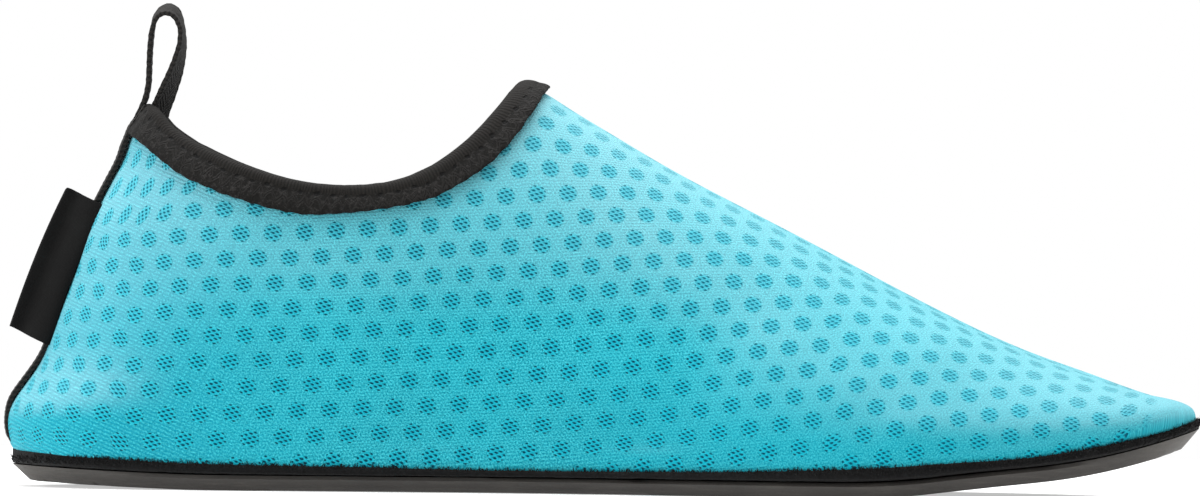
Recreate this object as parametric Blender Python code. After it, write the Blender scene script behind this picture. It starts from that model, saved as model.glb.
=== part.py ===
"""A slip-on water shoe for the left foot: rubber outsole, felt bottom, knit upper, insole,
folded collar binding, heel webbing with a pull loop, and a small folded heel tab.
Metres, +Z up, toe at +X, the inner (big toe) side at -Y, standing on z = 0."""

import math

import bmesh
import bpy
import numpy as np
from mathutils import Vector
from mathutils.bvhtree import BVHTree

# Driving dimensions
SOLE_LENGTH = 0.2624
BALL_WIDTH = 0.0940
INSTEP_HEIGHT = 0.0899
HEEL_HEIGHT = 0.0803
COLLAR_DIP_HEIGHT = 0.0654

# Places along the shoe that grow with its length, as shares of the sole's length
COLLAR_BACK_X = 0.1143 * SOLE_LENGTH
COLLAR_DIP_X = 0.2763 * SOLE_LENGTH
COLLAR_FRONT_X = 0.4306 * SOLE_LENGTH
TOE_SPRING_START_X = 0.7050 * SOLE_LENGTH
HEEL_LIFT_END_X = 0.1600 * SOLE_LENGTH
HEEL_BULGE_END_X = 0.1524 * SOLE_LENGTH
BALL_GROOVES_X = 0.5716 * SOLE_LENGTH

# Sole
RUBBER_THICKNESS = 0.0035
SOCK_THICKNESS = 0.0024
SOCK_SET_IN = 0.0002
SOLE_UNDERCUT = 0.0040
TOE_SPRING = 0.0124
HEEL_LIFT = 0.0015
TREAD_RIM = 0.0080
WIDEST_RIM_SHARE = 0.4
GROOVE_DEPTH = 0.0012
GROOVE_WIDTH = 0.0026
GROOVE_PITCH = 0.0120
GROOVE_DRAFT = 0.0004
HEEL_GROOVES = 4
BALL_GROOVES = 6
HEEL_GROOVES_X = 0.0140

# Upper and insole
WALL = 0.0018
UPPER_SET_IN = 0.0004
HEEL_BULGE = 0.0046
HEEL_BULGE_HEIGHT = 0.0165
HEEL_BULGE_REACH = 0.0115
INSOLE_THICKNESS = 0.0030
INSOLE_CLEARANCE = 0.0032

# Webbing, binding and tab
BINDING_WIDTH = 0.0076
BINDING_THICKNESS = 0.0009
BINDING_EASE = 0.0004
BINDING_TURN_DROP = 0.0008
WEBBING_WIDTH = 0.0100
WEBBING_THICKNESS = 0.0011
TAPE_CLEARANCE = 0.0004
TAPE_FOOT_RISE = 0.0012
TAPE_BRIDGE = 0.0012
TAPE_FLATNESS = 0.5
TAPE_UPWARD = 0.35
LOOP_HEIGHT = 0.0270
LOOP_OPENING = 0.0070
LOOP_TWIST = 28.0
LOOP_TWIST_START = 0.3
LOOP_TWIST_SPAN = 0.5
TAB_DEPTH = 0.0073
TAB_THICKNESS = 0.0014
TAB_CLEARANCE = 0.0004
TAB_SLOPE = 0.45
TAB_FOLD_SHARE = 0.3
TAB_BOTTOM_Z = 0.0320
TAB_TOP_Z = 0.0630

# Clearance between neighbouring pieces
GAP = 0.0003

# Mesh density
COLLAR_LINES = 32
RIDGE_LINES = 22
WALL_LINES = 13
VAMP_SPACED_AT = 0.2
TIP_LINES = (0.0, 0.25, 0.5, 0.8)
TIP_END = 1.15
PLATE_LINES = 26
OUTSOLE_LINES = 24
GROOVE_SPARE = 0.12
BINDING_ROWS = 4
TAPE_LINES = 22
TAPE_ROWS = 5
LOOP_LINES = 34
TAB_LINES = 8
FINE_STEPS = 400

# Sections from the heel seam to the toe tip. Shares of the sole's length: foot, ridge. Shares of
# the ball width: inner, outer, ridge_y. Shares of the instep height: ridge_z, foot_pull, ridge_pull.
# Degrees: how far the wall leans out at the foot on each side, how far the section dips as it leaves
# the ridge, and which way it leaves (180 is straight back, 90 across, 0 straight forward).
SECTION_COLUMNS = (
    "foot", "inner", "outer", "ridge", "ridge_y", "ridge_z",
    "foot_pull", "inner_lean", "outer_lean", "ridge_pull", "dip", "turn",
)
SECTIONS = (
    (0.000, 0.000, 0.000, 0.200, 0.000, 1.124, 0.280, -17, -17, 0.462, 34, 180),
    (0.015, 0.142, 0.142, 0.203, 0.000, 1.123, 0.283, -15, -15, 0.445, 32, 150),
    (0.055, 0.264, 0.268, 0.222, 0.000, 1.117, 0.300, -9, -9, 0.400, 26, 118),
    (0.127, 0.330, 0.338, 0.250, 0.000, 1.104, 0.322, -2, -2, 0.345, 16, 98),
    (0.226, 0.330, 0.360, 0.298, -0.002, 1.081, 0.345, 4, 1, 0.300, 8, 90),
    (0.333, 0.302, 0.378, 0.360, -0.006, 1.047, 0.367, 8, 2, 0.278, 3, 90),
    (0.424, 0.288, 0.404, 0.403, -0.012, 1.018, 0.356, 9, 2, 0.267, 0, 90),
    (0.508, 0.324, 0.442, 0.463, -0.024, 0.951, 0.322, 8, 2, 0.267, 0, 90),
    (0.592, 0.388, 0.484, 0.546, -0.042, 0.811, 0.256, 6, 3, 0.267, 0, 90),
    (0.676, 0.452, 0.512, 0.634, -0.068, 0.679, 0.190, 4, 3, 0.262, 0, 90),
    (0.756, 0.484, 0.505, 0.718, -0.094, 0.552, 0.145, 2, 2, 0.250, 0, 90),
    (0.832, 0.473, 0.441, 0.794, -0.112, 0.439, 0.117, 0, 0, 0.230, 0, 90),
    (0.901, 0.426, 0.330, 0.859, -0.121, 0.356, 0.095, 0, 0, 0.200, 4, 75),
    (0.954, 0.346, 0.165, 0.905, -0.122, 0.310, 0.078, 0, 0, 0.155, 11, 50),
    (0.989, 0.239, 0.000, 0.935, -0.119, 0.274, 0.060, 2, 2, 0.111, 15, 25),
    (1.000, 0.117, -0.117, 0.947, -0.117, 0.262, 0.048, 4, 4, 0.089, 17, 0),
)

# How thick the felt bottom is along the sole: share of the sole's length, share of SOCK_THICKNESS
SOCK_ROWS = (
    (0.00, 1.00), (0.08, 0.62), (0.25, 0.40), (0.42, 0.32), (0.58, 0.46),
    (0.75, 0.94), (0.92, 0.88), (1.00, 0.62),
)

# How the collar's edge climbs from its dip to the heel and to the instep
COLLAR_BACK_POWER = 1.9
COLLAR_FRONT_POWER = 2.65
TOE_SPRING_POWER = 2.1
HEEL_LIFT_POWER = 1.2

# Where the fold of the binding has its corners, in degrees over the collar's edge
OUTER_FOLD = (20, 55, 90, 125, 160)
INNER_FOLD = (7, 53, 127, 173)
INNER_FOLD_FULLNESS = 1.03
BINDING_NORMAL_SHARE = 0.5

# The pull loop's path from the collar's edge. Across: multiples of the half gap between its legs,
# of the clearance round the binding and of the loop's opening. Up: multiples of that clearance and
# of the loop's height.
LOOP_COLUMNS = ("neck", "clear", "opening", "clear_up", "height")
LOOP_STOPS = (
    (0, -0.92, 0.000, 0.80, 0.000),
    (-1, 0.00, 0.057, 1.00, 0.096),
    (-1, 0.00, 0.114, 0.00, 0.420),
    (-1, 0.00, 0.086, 0.00, 0.700),
    (-1, 0.00, 0.229, 0.00, 0.867),
    (-1, 0.00, 0.620, 0.00, 1.000),
    (-1, 0.00, 1.200, 0.00, 0.852),
    (-1, 0.00, 1.280, 0.00, 0.660),
    (-1, 0.00, 1.020, 0.00, 0.420),
    (1, 0.00, 0.086, 1.00, 0.096),
    (0, 0.98, 0.000, 0.70, 0.000),
    (0, 1.22, 0.000, -0.90, 0.000),
)


def clear_scene():
    for obj in list(bpy.data.objects):
        bpy.data.objects.remove(obj)


def material(name, colour, roughness, metallic=0.0):
    """A plain material of one colour, roughness and metallic value."""
    made = bpy.data.materials.new(name)
    made.use_nodes = True
    shader = made.node_tree.nodes["Principled BSDF"]
    shader.inputs["Base Color"].default_value = (*colour, 1.0)
    shader.inputs["Roughness"].default_value = roughness
    shader.inputs["Metallic"].default_value = metallic
    return made


def solid(name, points, faces, finish):
    """One named object from points and faces, its normals turned outwards."""
    mesh = bpy.data.meshes.new(name)
    bm = bmesh.new()
    corners = [bm.verts.new(p) for p in points]
    for face in faces:
        bm.faces.new([corners[i] for i in face])
    bmesh.ops.recalc_face_normals(bm, faces=bm.faces)
    bm.to_mesh(mesh)
    bm.free()
    mesh.materials.append(finish)
    mesh.shade_smooth()
    mesh.set_sharp_from_angle(angle=math.radians(40))
    made = bpy.data.objects.new(name, mesh)
    bpy.context.scene.collection.objects.link(made)
    return made


class Ring:
    """A smooth closed curve through evenly numbered values, with the same bend on both sides of each."""

    def __init__(self, values):
        self.values = np.array(values, float)
        count = len(self.values)
        matrix = np.zeros((count, count))
        for i in range(count):
            matrix[i, i - 1] = 1
            matrix[i, i] = 4
            matrix[i, (i + 1) % count] = 1
        second = np.roll(self.values, -1) - 2 * self.values + np.roll(self.values, 1)
        self.bends = np.linalg.solve(matrix, 6 * second)

    def __call__(self, at):
        at = np.asarray(at, float) % len(self.values)
        i = np.floor(at).astype(int) % len(self.values)
        j = (i + 1) % len(self.values)
        b = at - np.floor(at)
        a = 1 - b
        curve = a * self.values[i] + b * self.values[j]
        return curve + ((a**3 - a) * self.bends[i] + (b**3 - b) * self.bends[j]) / 6


LAST_ROW = len(SECTIONS) - 1
TURN_ROUND = 2 * LAST_ROW


def column(name):
    i = SECTION_COLUMNS.index(name)
    return np.array([row[i] for row in SECTIONS], float)


def ring_of(inner, outer):
    """Joins the values of the inner side, heel to toe, with those of the outer side, toe to heel."""
    return Ring(np.concatenate([inner, outer[-2:0:-1]]))


TURN = np.radians(column("turn"))
FOOT_X = ring_of(column("foot") * SOLE_LENGTH, column("foot") * SOLE_LENGTH)
FOOT_Y = ring_of(-column("inner") * BALL_WIDTH, column("outer") * BALL_WIDTH)
RIDGE_X = ring_of(column("ridge") * SOLE_LENGTH, column("ridge") * SOLE_LENGTH)
RIDGE_Y = ring_of(column("ridge_y") * BALL_WIDTH, column("ridge_y") * BALL_WIDTH)
RIDGE_Z = ring_of(column("ridge_z") * INSTEP_HEIGHT, column("ridge_z") * INSTEP_HEIGHT)
FOOT_PULL = ring_of(column("foot_pull") * INSTEP_HEIGHT, column("foot_pull") * INSTEP_HEIGHT)
RIDGE_PULL = ring_of(column("ridge_pull") * INSTEP_HEIGHT, column("ridge_pull") * INSTEP_HEIGHT)
LEAN = ring_of(np.radians(column("inner_lean")), np.radians(column("outer_lean")))
DIP = ring_of(np.radians(column("dip")), np.radians(column("dip")))
WAY_X = ring_of(np.cos(TURN), np.cos(TURN))
WAY_Y = ring_of(-np.sin(TURN), np.sin(TURN))


def outline_normal(v):
    """The direction straight out of the sole's outline, seen from above."""
    step = 1e-3
    tx = FOOT_X(v + step) - FOOT_X(v - step)
    ty = FOOT_Y(v + step) - FOOT_Y(v - step)
    length = np.hypot(tx, ty)
    return ty / length, -tx / length


def outline(v, inset):
    """A point of the sole's outline, moved in by inset. v is 0 at the heel and LAST_ROW at the toe."""
    nx, ny = outline_normal(v)
    return FOOT_X(v) - nx * inset, FOOT_Y(v) - ny * inset


def lift(x):
    """How far the underside stands off the floor: the heel's small lift and the toe spring."""
    heel = np.clip(1 - x / HEEL_LIFT_END_X, 0, 1)
    toe = np.clip((x - TOE_SPRING_START_X) / (SOLE_LENGTH - TOE_SPRING_START_X), 0, 1)
    return HEEL_LIFT * heel**HEEL_LIFT_POWER + TOE_SPRING * toe**TOE_SPRING_POWER


def sock_thickness(x):
    shares, thick = np.array(SOCK_ROWS).T
    here = np.clip(x / SOLE_LENGTH, 0, 1)
    low = np.clip(np.searchsorted(shares, here, side="right") - 1, 0, len(shares) - 2)
    t = (here - shares[low]) / (shares[low + 1] - shares[low])
    eased = t * t * (3 - 2 * t)
    return SOCK_THICKNESS * (thick[low] * (1 - eased) + thick[low + 1] * eased)


def rubber_top(x):
    return lift(x) + RUBBER_THICKNESS


def sock_bottom_z(x):
    return rubber_top(x) + GAP


def sock_top(x):
    return sock_bottom_z(x) + sock_thickness(x)


def feather_z(x):
    """Where the upper's lower edge runs."""
    return sock_top(x) + GAP


def collar_z(x):
    """The height of the upper's collar edge, seen from the side."""
    back = np.clip((COLLAR_DIP_X - x) / (COLLAR_DIP_X - COLLAR_BACK_X), 0, 2)
    front = np.clip((x - COLLAR_DIP_X) / (COLLAR_FRONT_X - COLLAR_DIP_X), 0, 1)
    climb_back = (HEEL_HEIGHT - COLLAR_DIP_HEIGHT) * back**COLLAR_BACK_POWER
    climb_front = (INSTEP_HEIGHT - COLLAR_DIP_HEIGHT) * front**COLLAR_FRONT_POWER
    return COLLAR_DIP_HEIGHT + climb_back + climb_front


def last(v, w):
    """The outside of the upper on its last: v runs round the shoe, w from its foot (0) to the ridge (1)."""
    v, w = np.broadcast_arrays(np.asarray(v, float), np.asarray(w, float))
    nx, ny = outline_normal(v)
    foot_x, foot_y = outline(v, UPPER_SET_IN)
    foot_z = feather_z(foot_x)
    lean, pull = LEAN(v), FOOT_PULL(v)
    low = (foot_x + nx * np.sin(lean) * pull, foot_y + ny * np.sin(lean) * pull,
           foot_z + np.cos(lean) * pull)
    way_x, way_y = WAY_X(v), WAY_Y(v)
    size = np.hypot(way_x, way_y)
    level = RIDGE_PULL(v) * np.cos(DIP(v)) / size
    high = (RIDGE_X(v) + way_x * level, RIDGE_Y(v) + way_y * level,
            RIDGE_Z(v) - RIDGE_PULL(v) * np.sin(DIP(v)))
    ends = ((foot_x, foot_y, foot_z), low, high, (RIDGE_X(v), RIDGE_Y(v), RIDGE_Z(v)))
    shares = ((1 - w) ** 3, 3 * w * (1 - w) ** 2, 3 * w * w * (1 - w), w**3)
    x, y, z = (sum(s * p[k] for s, p in zip(shares, ends)) for k in range(3))
    off = np.clip(np.abs(z - HEEL_BULGE_HEIGHT) / HEEL_BULGE_REACH, 0, 1)
    fade = np.clip(1 - foot_x / HEEL_BULGE_END_X, 0, 1)
    bulge = HEEL_BULGE * np.cos(off * math.pi / 2) ** 2 * fade * fade * (3 - 2 * fade)
    return np.stack([x + nx * bulge, y + ny * bulge, z], axis=-1)


def collar_share(v):
    """How far up the section the collar cuts it: 1 where the section reaches the ridge uncut."""
    shares = np.linspace(0, 1, FINE_STEPS)
    points = last(v, shares)
    above = points[:, 2] - collar_z(points[:, 0])
    above[points[:, 0] > COLLAR_FRONT_X] = -1
    crossed = np.nonzero(above > 0)[0]
    if not len(crossed):
        return 1.0
    i = crossed[0]
    return shares[i - 1] + (shares[i] - shares[i - 1]) * above[i - 1] / (above[i - 1] - above[i])


def front_line():
    """The section whose ridge point is the front of the collar."""
    low, high = 0.0, float(LAST_ROW)
    for _ in range(40):
        middle = (low + high) / 2
        if RIDGE_X(middle) < COLLAR_FRONT_X:
            low = middle
        else:
            high = middle
    return high


def spread(points, count):
    """Positions 0..1 along a dense row of points that divide its length evenly."""
    steps = np.linalg.norm(np.diff(points, axis=0), axis=1)
    along = np.concatenate([[0], np.cumsum(steps)])
    return np.interp(np.linspace(0, along[-1], count + 1), along, np.linspace(0, 1, len(points)))


def section_lines():
    """The v of each section of one side, from heel to toe, with the share at which the collar cuts it."""
    front = front_line()
    dense = np.linspace(0, front, FINE_STEPS)
    edge = np.array([last(v, collar_share(v)) for v in dense])
    foot = last(dense, 0)
    quarter = spread(np.hstack([edge, foot]), COLLAR_LINES) * front
    dense = np.linspace(front, LAST_ROW, FINE_STEPS)
    vamp = front + spread(last(dense, VAMP_SPACED_AT), RIDGE_LINES) * (LAST_ROW - front)
    lines = [(v, collar_share(v)) for v in quarter[:-1]]
    return lines + [(v, 1.0) for v in vamp]


def upper_surface():
    """Points and faces of the upper's outside, both halves joined at the heel, the ridge and the toe."""
    lines = section_lines()
    rises = np.linspace(0, 1, WALL_LINES + 1)
    inner = [last(v, rises * top) for v, top in lines]
    outer = [last(TURN_ROUND - v, rises * top) for v, top in lines]
    points, index = [], {}
    for side, rows in (("inner", inner), ("outer", outer)):
        for i, row in enumerate(rows):
            for j, point in enumerate(row):
                shared = i in (0, len(rows) - 1) or (j == WALL_LINES and lines[i][1] == 1.0)
                if side == "outer" and shared:
                    index[side, i, j] = index["inner", i, j]
                    continue
                index[side, i, j] = len(points)
                points.append(point)
    faces = []
    for side in ("inner", "outer"):
        for i in range(len(lines) - 1):
            for j in range(WALL_LINES):
                face = [index[side, i, j], index[side, i + 1, j],
                        index[side, i + 1, j + 1], index[side, i, j + 1]]
                faces.append(face if side == "inner" else face[::-1])
    foot = [index["inner", i, 0] for i in range(len(lines))]
    foot += [index["outer", i, 0] for i in range(len(lines) - 2, 0, -1)]
    open_lines = [i for i, line in enumerate(lines) if line[1] < 1.0] + [len(lines) - RIDGE_LINES - 1]
    collar = [index["inner", i, WALL_LINES] for i in open_lines]
    collar += [index["outer", i, WALL_LINES] for i in open_lines[-2:0:-1]]
    return np.array(points), faces, foot, collar


def point_normals(points, faces):
    """The outward direction at each point, averaged over the faces round it."""
    normals = np.zeros_like(points)
    for face in faces:
        a, b, c, d = points[face]
        across = np.cross(c - a, d - b)
        for i in face:
            normals[i] += across
    return normals / np.linalg.norm(normals, axis=1)[:, None]


def make_upper(finish):
    points, faces, foot, collar = upper_surface()
    normals = point_normals(points, faces)
    inside = points - normals * WALL
    inside[foot, 2] = feather_z(inside[foot, 0])
    count = len(points)
    walls = [list(face) for face in faces] + [[i + count for i in face[::-1]] for face in faces]
    for loop in (foot, collar):
        for a, b in zip(loop, loop[1:] + loop[:1]):
            walls.append([a, b, b + count, a + count])
    made = solid("upper", np.vstack([points, inside]), walls, finish)
    surface = BVHTree.FromPolygons([Vector(p) for p in points], faces)
    return made, surface, points[collar], normals[collar]


def sole_lines(count):
    """The v of each line across a layer of the sole, closer together at the heel and toe tips."""
    tips = np.array(TIP_LINES)
    return np.concatenate([tips, np.linspace(TIP_END, LAST_ROW - TIP_END, count), LAST_ROW - tips[::-1]])


def plate(name, inset_low, inset_high, low_z, high_z, finish):
    """A layer of the sole: its outline is moved in by one inset below and another above."""
    lines = sole_lines(PLATE_LINES)
    points, faces = [], []
    for v in lines:
        for inset, height in ((inset_low, low_z), (inset_high, high_z)):
            for side in (v, TURN_ROUND - v):
                x, y = outline(side, inset)
                points.append((x, y, height(x)))
    for i in range(len(lines) - 1):
        a, b = 4 * i, 4 * i + 4
        faces.append([a, a + 1, b + 1, b])
        faces.append([a + 2, b + 2, b + 3, a + 3])
        faces.append([a, b, b + 2, a + 2])
        faces.append([a + 1, a + 3, b + 3, b + 1])
    return weld_ends(name, points, faces, finish)


def weld_ends(name, points, faces, finish):
    """Makes the solid after the doubled points at the heel and toe tips are made one."""
    kept, where = [], []
    for point in points:
        near = [k for k, other in enumerate(kept) if np.linalg.norm(np.subtract(point, other)) < 1e-6]
        where.append(near[0] if near else len(kept))
        if not near:
            kept.append(point)
    whole = []
    for face in faces:
        face = [where[i] for i in face]
        face = [i for k, i in enumerate(face) if i != face[k - 1]]
        if len(face) > 2:
            whole.append(face)
    return solid(name, kept, whole, finish)


def line_at(x, inset):
    """The v on the inner side whose inset outline has this x."""
    dense = np.linspace(0, LAST_ROW, FINE_STEPS)
    return float(np.interp(x, outline(dense, inset)[0], dense))


def groove_starts():
    rows = [HEEL_GROOVES_X + i * GROOVE_PITCH for i in range(HEEL_GROOVES)]
    return rows + [BALL_GROOVES_X + i * GROOVE_PITCH for i in range(BALL_GROOVES)]


def make_outsole(finish):
    """Rubber with a slanting side; grooves are pressed into the tread, inside a plain rim."""
    starts = groove_starts()
    cuts = [line_at(x, SOLE_UNDERCUT) for s in starts for x in (s, s + GROOVE_WIDTH)]
    kept = [v for v in sole_lines(OUTSOLE_LINES) if all(abs(v - cut) > GROOVE_SPARE for cut in cuts)]
    lines = np.array(sorted(kept + cuts))
    points, faces, pressed = [], [], []
    for v in lines:
        row = []
        for side in (v, TURN_ROUND - v):
            x, y = outline(side, 0.0)
            row.append((x, y, rubber_top(x)))
        low = [np.array(outline(side, SOLE_UNDERCUT)) for side in (v, TURN_ROUND - v)]
        width = np.linalg.norm(low[1] - low[0])
        rim = min(TREAD_RIM / max(width, TREAD_RIM), WIDEST_RIM_SHARE)
        for share in (0, rim, 1 - rim, 1):
            x, y = low[0] * (1 - share) + low[1] * share
            row.append((x, y, lift(x)))
        points += row
    for i in range(len(lines) - 1):
        a, b = 6 * i, 6 * i + 6
        faces.append([a, b, b + 1, a + 1])
        faces.append([a, a + 2, b + 2, b])
        faces.append([a + 1, b + 1, b + 5, a + 5])
        for k in (2, 3, 4):
            faces.append([a + k, a + k + 1, b + k + 1, b + k])
        if any(abs(lines[i] - line_at(s, SOLE_UNDERCUT)) < 1e-9 for s in starts):
            pressed.append(np.mean([points[a + 3], points[a + 4], points[b + 3], points[b + 4]], axis=0))
    made = weld_ends("outsole", points, faces, finish)
    bm = bmesh.new()
    bm.from_mesh(made.data)
    for place in pressed:
        bm.faces.ensure_lookup_table()
        face = min(bm.faces, key=lambda f: (f.calc_center_median() - Vector(place)).length)
        bmesh.ops.inset_region(bm, faces=[face], thickness=GROOVE_DRAFT, depth=-GROOVE_DEPTH)
    bm.to_mesh(made.data)
    bm.free()
    return made


def on_surface(surface, point):
    """The nearest place on a surface, with the direction straight out of it."""
    place, normal, _, _ = surface.find_nearest(Vector(point))
    return np.array(place), np.array(normal)


def binding_frames(edge, normals):
    """Along the collar's edge: the point, straight out of the wall, and down the wall."""
    frames = []
    for i, point in enumerate(edge):
        along = edge[(i + 1) % len(edge)] - edge[i - 1]
        down = np.cross(along, normals[i])
        frames.append((point, normals[i], down / np.linalg.norm(down)))
    return frames


def make_binding(surface, edge, normals, finish):
    """A folded strip over the collar's edge: each station is a U that runs down both faces."""
    frames = binding_frames(edge, normals)
    depths = np.linspace(BINDING_WIDTH, BINDING_TURN_DROP, BINDING_ROWS)
    half = WALL / 2
    rows = []
    for point, out, down in frames:
        laid = []
        for depth in depths:
            place, normal = on_surface(surface, point + down * depth)
            mixed = normal + BINDING_NORMAL_SHARE * out
            laid.append((place, mixed / np.linalg.norm(mixed)))
        section = [p + n * (BINDING_EASE + BINDING_THICKNESS) for p, n in laid]
        section += fold(point, out, down, half + BINDING_EASE + BINDING_THICKNESS, OUTER_FOLD)
        section += [p - n * (WALL + BINDING_EASE + BINDING_THICKNESS) for p, n in laid[::-1]]
        section += [p - n * (WALL + BINDING_EASE) for p, n in laid]
        section += fold(point, out, down, (half + BINDING_EASE) * INNER_FOLD_FULLNESS, INNER_FOLD)[::-1]
        section += [p + n * BINDING_EASE for p, n in laid[::-1]]
        rows.append(section)
    return tube("collar_binding", rows, finish)


def fold(point, out, down, radius, turns):
    """The round of the fold, from the outer face over the edge to the inner face."""
    centre = point - out * WALL / 2
    return [centre + out * radius * math.cos(a) - down * radius * math.sin(a)
            for a in np.radians(turns)]


def tube(name, rows, finish):
    """A closed ring of equal sections."""
    size = len(rows[0])
    points = [p for row in rows for p in row]
    faces = []
    for i in range(len(rows)):
        j = (i + 1) % len(rows)
        for k in range(size):
            m = (k + 1) % size
            faces.append([i * size + k, j * size + k, j * size + m, i * size + m])
    return solid(name, points, faces, finish)


def strip(name, rows, finish):
    """A bar of equal sections with closed ends."""
    size = len(rows[0])
    points = [p for row in rows for p in row]
    faces = [list(range(size)), [len(points) - size + k for k in range(size)][::-1]]
    for i in range(len(rows) - 1):
        for k in range(size):
            m = (k + 1) % size
            faces.append([i * size + k, i * size + m, (i + 1) * size + m, (i + 1) * size + k])
    return solid(name, points, faces, finish)


def surface_of(*objects):
    points, faces = [], []
    for obj in objects:
        start = len(points)
        points += [v.co.copy() for v in obj.data.vertices]
        faces += [[start + i for i in p.vertices] for p in obj.data.polygons]
    return BVHTree.FromPolygons(points, faces)


def heel_face(surface, y, z):
    """The rearmost place of a surface at this y and z, with the direction out of it."""
    place, normal, _, _ = surface.ray_cast(Vector((-SOLE_LENGTH, y, z)), Vector((1, 0, 0)))
    return np.array(place), np.array(normal)


def make_heel_tape(backing, top_z, finish):
    """Webbing up the centre back, lying over the knit and then over the binding."""
    low_z = feather_z(0.0) + TAPE_FOOT_RISE
    heights = np.linspace(low_z, top_z, TAPE_LINES)
    ways = np.linspace(-WEBBING_WIDTH / 2, WEBBING_WIDTH / 2, TAPE_ROWS)
    rows = []
    for z in heights:
        near, far = [], []
        for y in ways:
            place, normal = heel_face(backing, y, z)
            nearby = [heel_face(backing, y, z + d)[0][0] for d in (-TAPE_BRIDGE, 0.0, TAPE_BRIDGE)
                      if z + d < top_z]
            place[0] = min(nearby)
            normal = np.array((normal[0], normal[1] * TAPE_FLATNESS, TAPE_UPWARD * abs(normal[0])))
            normal /= np.linalg.norm(normal)
            near.append(place + normal * TAPE_CLEARANCE)
            far.append(place + normal * (TAPE_CLEARANCE + WEBBING_THICKNESS))
        rows.append(near + far[::-1])
    return strip("heel_tape", rows, finish)


def curve_points(stops, count):
    """Points evenly along a smooth open curve through the stops."""
    stops = np.array(stops, float)
    ends = np.vstack([2 * stops[0] - stops[1], stops, 2 * stops[-1] - stops[-2]])
    dense = []
    for i in range(1, len(ends) - 2):
        p0, p1, p2, p3 = ends[i - 1:i + 3]
        for t in np.linspace(0, 1, 12, endpoint=False):
            dense.append(0.5 * (2 * p1 + (p2 - p0) * t + (2 * p0 - 5 * p1 + 4 * p2 - p3) * t * t
                                + (3 * p1 - p0 - 3 * p2 + p3) * t**3))
    dense.append(stops[-1])
    dense = np.array(dense)
    at = spread(dense, count) * (len(dense) - 1)
    return np.stack([np.interp(at, np.arange(len(dense)), dense[:, k]) for k in range(dense.shape[1])],
                    axis=1)


def make_pull_loop(edge_point, out, tape_top, finish):
    """A finger loop of webbing: up from the tape, over, and down inside the collar."""
    ex, ez = edge_point[0] - out[0] * WALL / 2, edge_point[2] - out[2] * WALL / 2
    clear = WALL / 2 + BINDING_EASE + GAP + BINDING_THICKNESS + WEBBING_THICKNESS / 2
    neck = WEBBING_THICKNESS / 2 + GAP
    stops = [(tape_top[0], tape_top[2] + GAP)]
    for row in LOOP_STOPS:
        stop = dict(zip(LOOP_COLUMNS, row))
        x = ex + stop["neck"] * neck + stop["clear"] * clear + stop["opening"] * LOOP_OPENING
        stops.append((x, ez + stop["clear_up"] * clear + stop["height"] * LOOP_HEIGHT))
    path = curve_points(stops, LOOP_LINES)
    rows = []
    for i, (x, z) in enumerate(path):
        ahead = path[min(i + 1, len(path) - 1)] - path[max(i - 1, 0)]
        ahead /= np.linalg.norm(ahead)
        face = np.array((-ahead[1], 0.0, ahead[0]))
        share = i / (len(path) - 1)
        twisted = np.clip((share - LOOP_TWIST_START) / LOOP_TWIST_SPAN, 0, 1)
        turn = math.radians(LOOP_TWIST) * math.sin(math.pi * twisted) ** 2
        across = np.array((0.0, math.cos(turn), 0.0)) + face * math.sin(turn)
        through = face * math.cos(turn) - np.array((0.0, math.sin(turn), 0.0))
        centre = np.array((x, 0.0, z))
        half, thick = WEBBING_WIDTH / 2, WEBBING_THICKNESS / 2
        rows.append([centre + across * half * a + through * thick * b
                     for a, b in ((-1, -1), (1, -1), (1, 1), (-1, 1))])
    return strip("pull_loop", rows, finish)


def make_heel_tab(backing, finish):
    """A short folded tab that stands out from the webbing, its fold at the free edge."""
    rows = []
    for z in np.linspace(TAB_BOTTOM_Z, TAB_TOP_Z, TAB_LINES):
        place, _ = heel_face(backing, 0.0, z)
        rise = TAB_DEPTH * TAB_SLOPE
        x0, x1 = place[0] - TAB_CLEARANCE, place[0] - TAB_DEPTH
        half, soft = TAB_THICKNESS / 2, TAB_THICKNESS * TAB_FOLD_SHARE
        rows.append([(x0, -half, z), (x0, half, z), (x1 + soft, half, z + rise),
                     (x1, 0, z + rise), (x1 + soft, -half, z + rise)])
    return strip("heel_tab", rows, finish)


def centre_on_origin(objects):
    """Moves every piece so that the middle of the box round them all is over the origin."""
    corners = np.array([v.co for obj in objects for v in obj.data.vertices])
    middle = (corners.min(axis=0) + corners.max(axis=0)) / 2
    for obj in objects:
        for vertex in obj.data.vertices:
            vertex.co.x -= middle[0]
            vertex.co.y -= middle[1]


def main():
    clear_scene()
    rubber = material("sole_rubber", (0.060, 0.060, 0.060), 0.62)
    felt = material("black_felt", (0.010, 0.010, 0.010), 0.95)
    knit = material("turquoise_knit", (0.070, 0.560, 0.640), 0.80)
    foam = material("insole_foam", (0.040, 0.040, 0.042), 0.90)
    elastic = material("black_elastic", (0.015, 0.014, 0.013), 0.82)
    webbing = material("black_webbing", (0.012, 0.012, 0.012), 0.85)
    tab_cloth = material("black_tab_cloth", (0.009, 0.009, 0.010), 0.75)

    outsole = make_outsole(rubber)
    sock = plate("sock_bottom", SOCK_SET_IN, SOCK_SET_IN, sock_bottom_z, sock_top, felt)
    upper, surface, edge, normals = make_upper(knit)
    set_in = UPPER_SET_IN + WALL + INSOLE_CLEARANCE
    insole = plate("insole", set_in, set_in, lambda x: sock_top(x) + GAP,
                   lambda x: sock_top(x) + GAP + INSOLE_THICKNESS, foam)
    binding = make_binding(surface, edge, normals, elastic)
    tape = make_heel_tape(surface_of(upper, binding), edge[0][2], webbing)
    tape_top = np.mean([v.co for v in tape.data.vertices[-2 * TAPE_ROWS:]], axis=0)
    loop = make_pull_loop(edge[0], normals[0], tape_top, webbing)
    tab = make_heel_tab(surface_of(tape), tab_cloth)
    centre_on_origin([outsole, sock, upper, insole, binding, tape, loop, tab])


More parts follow.
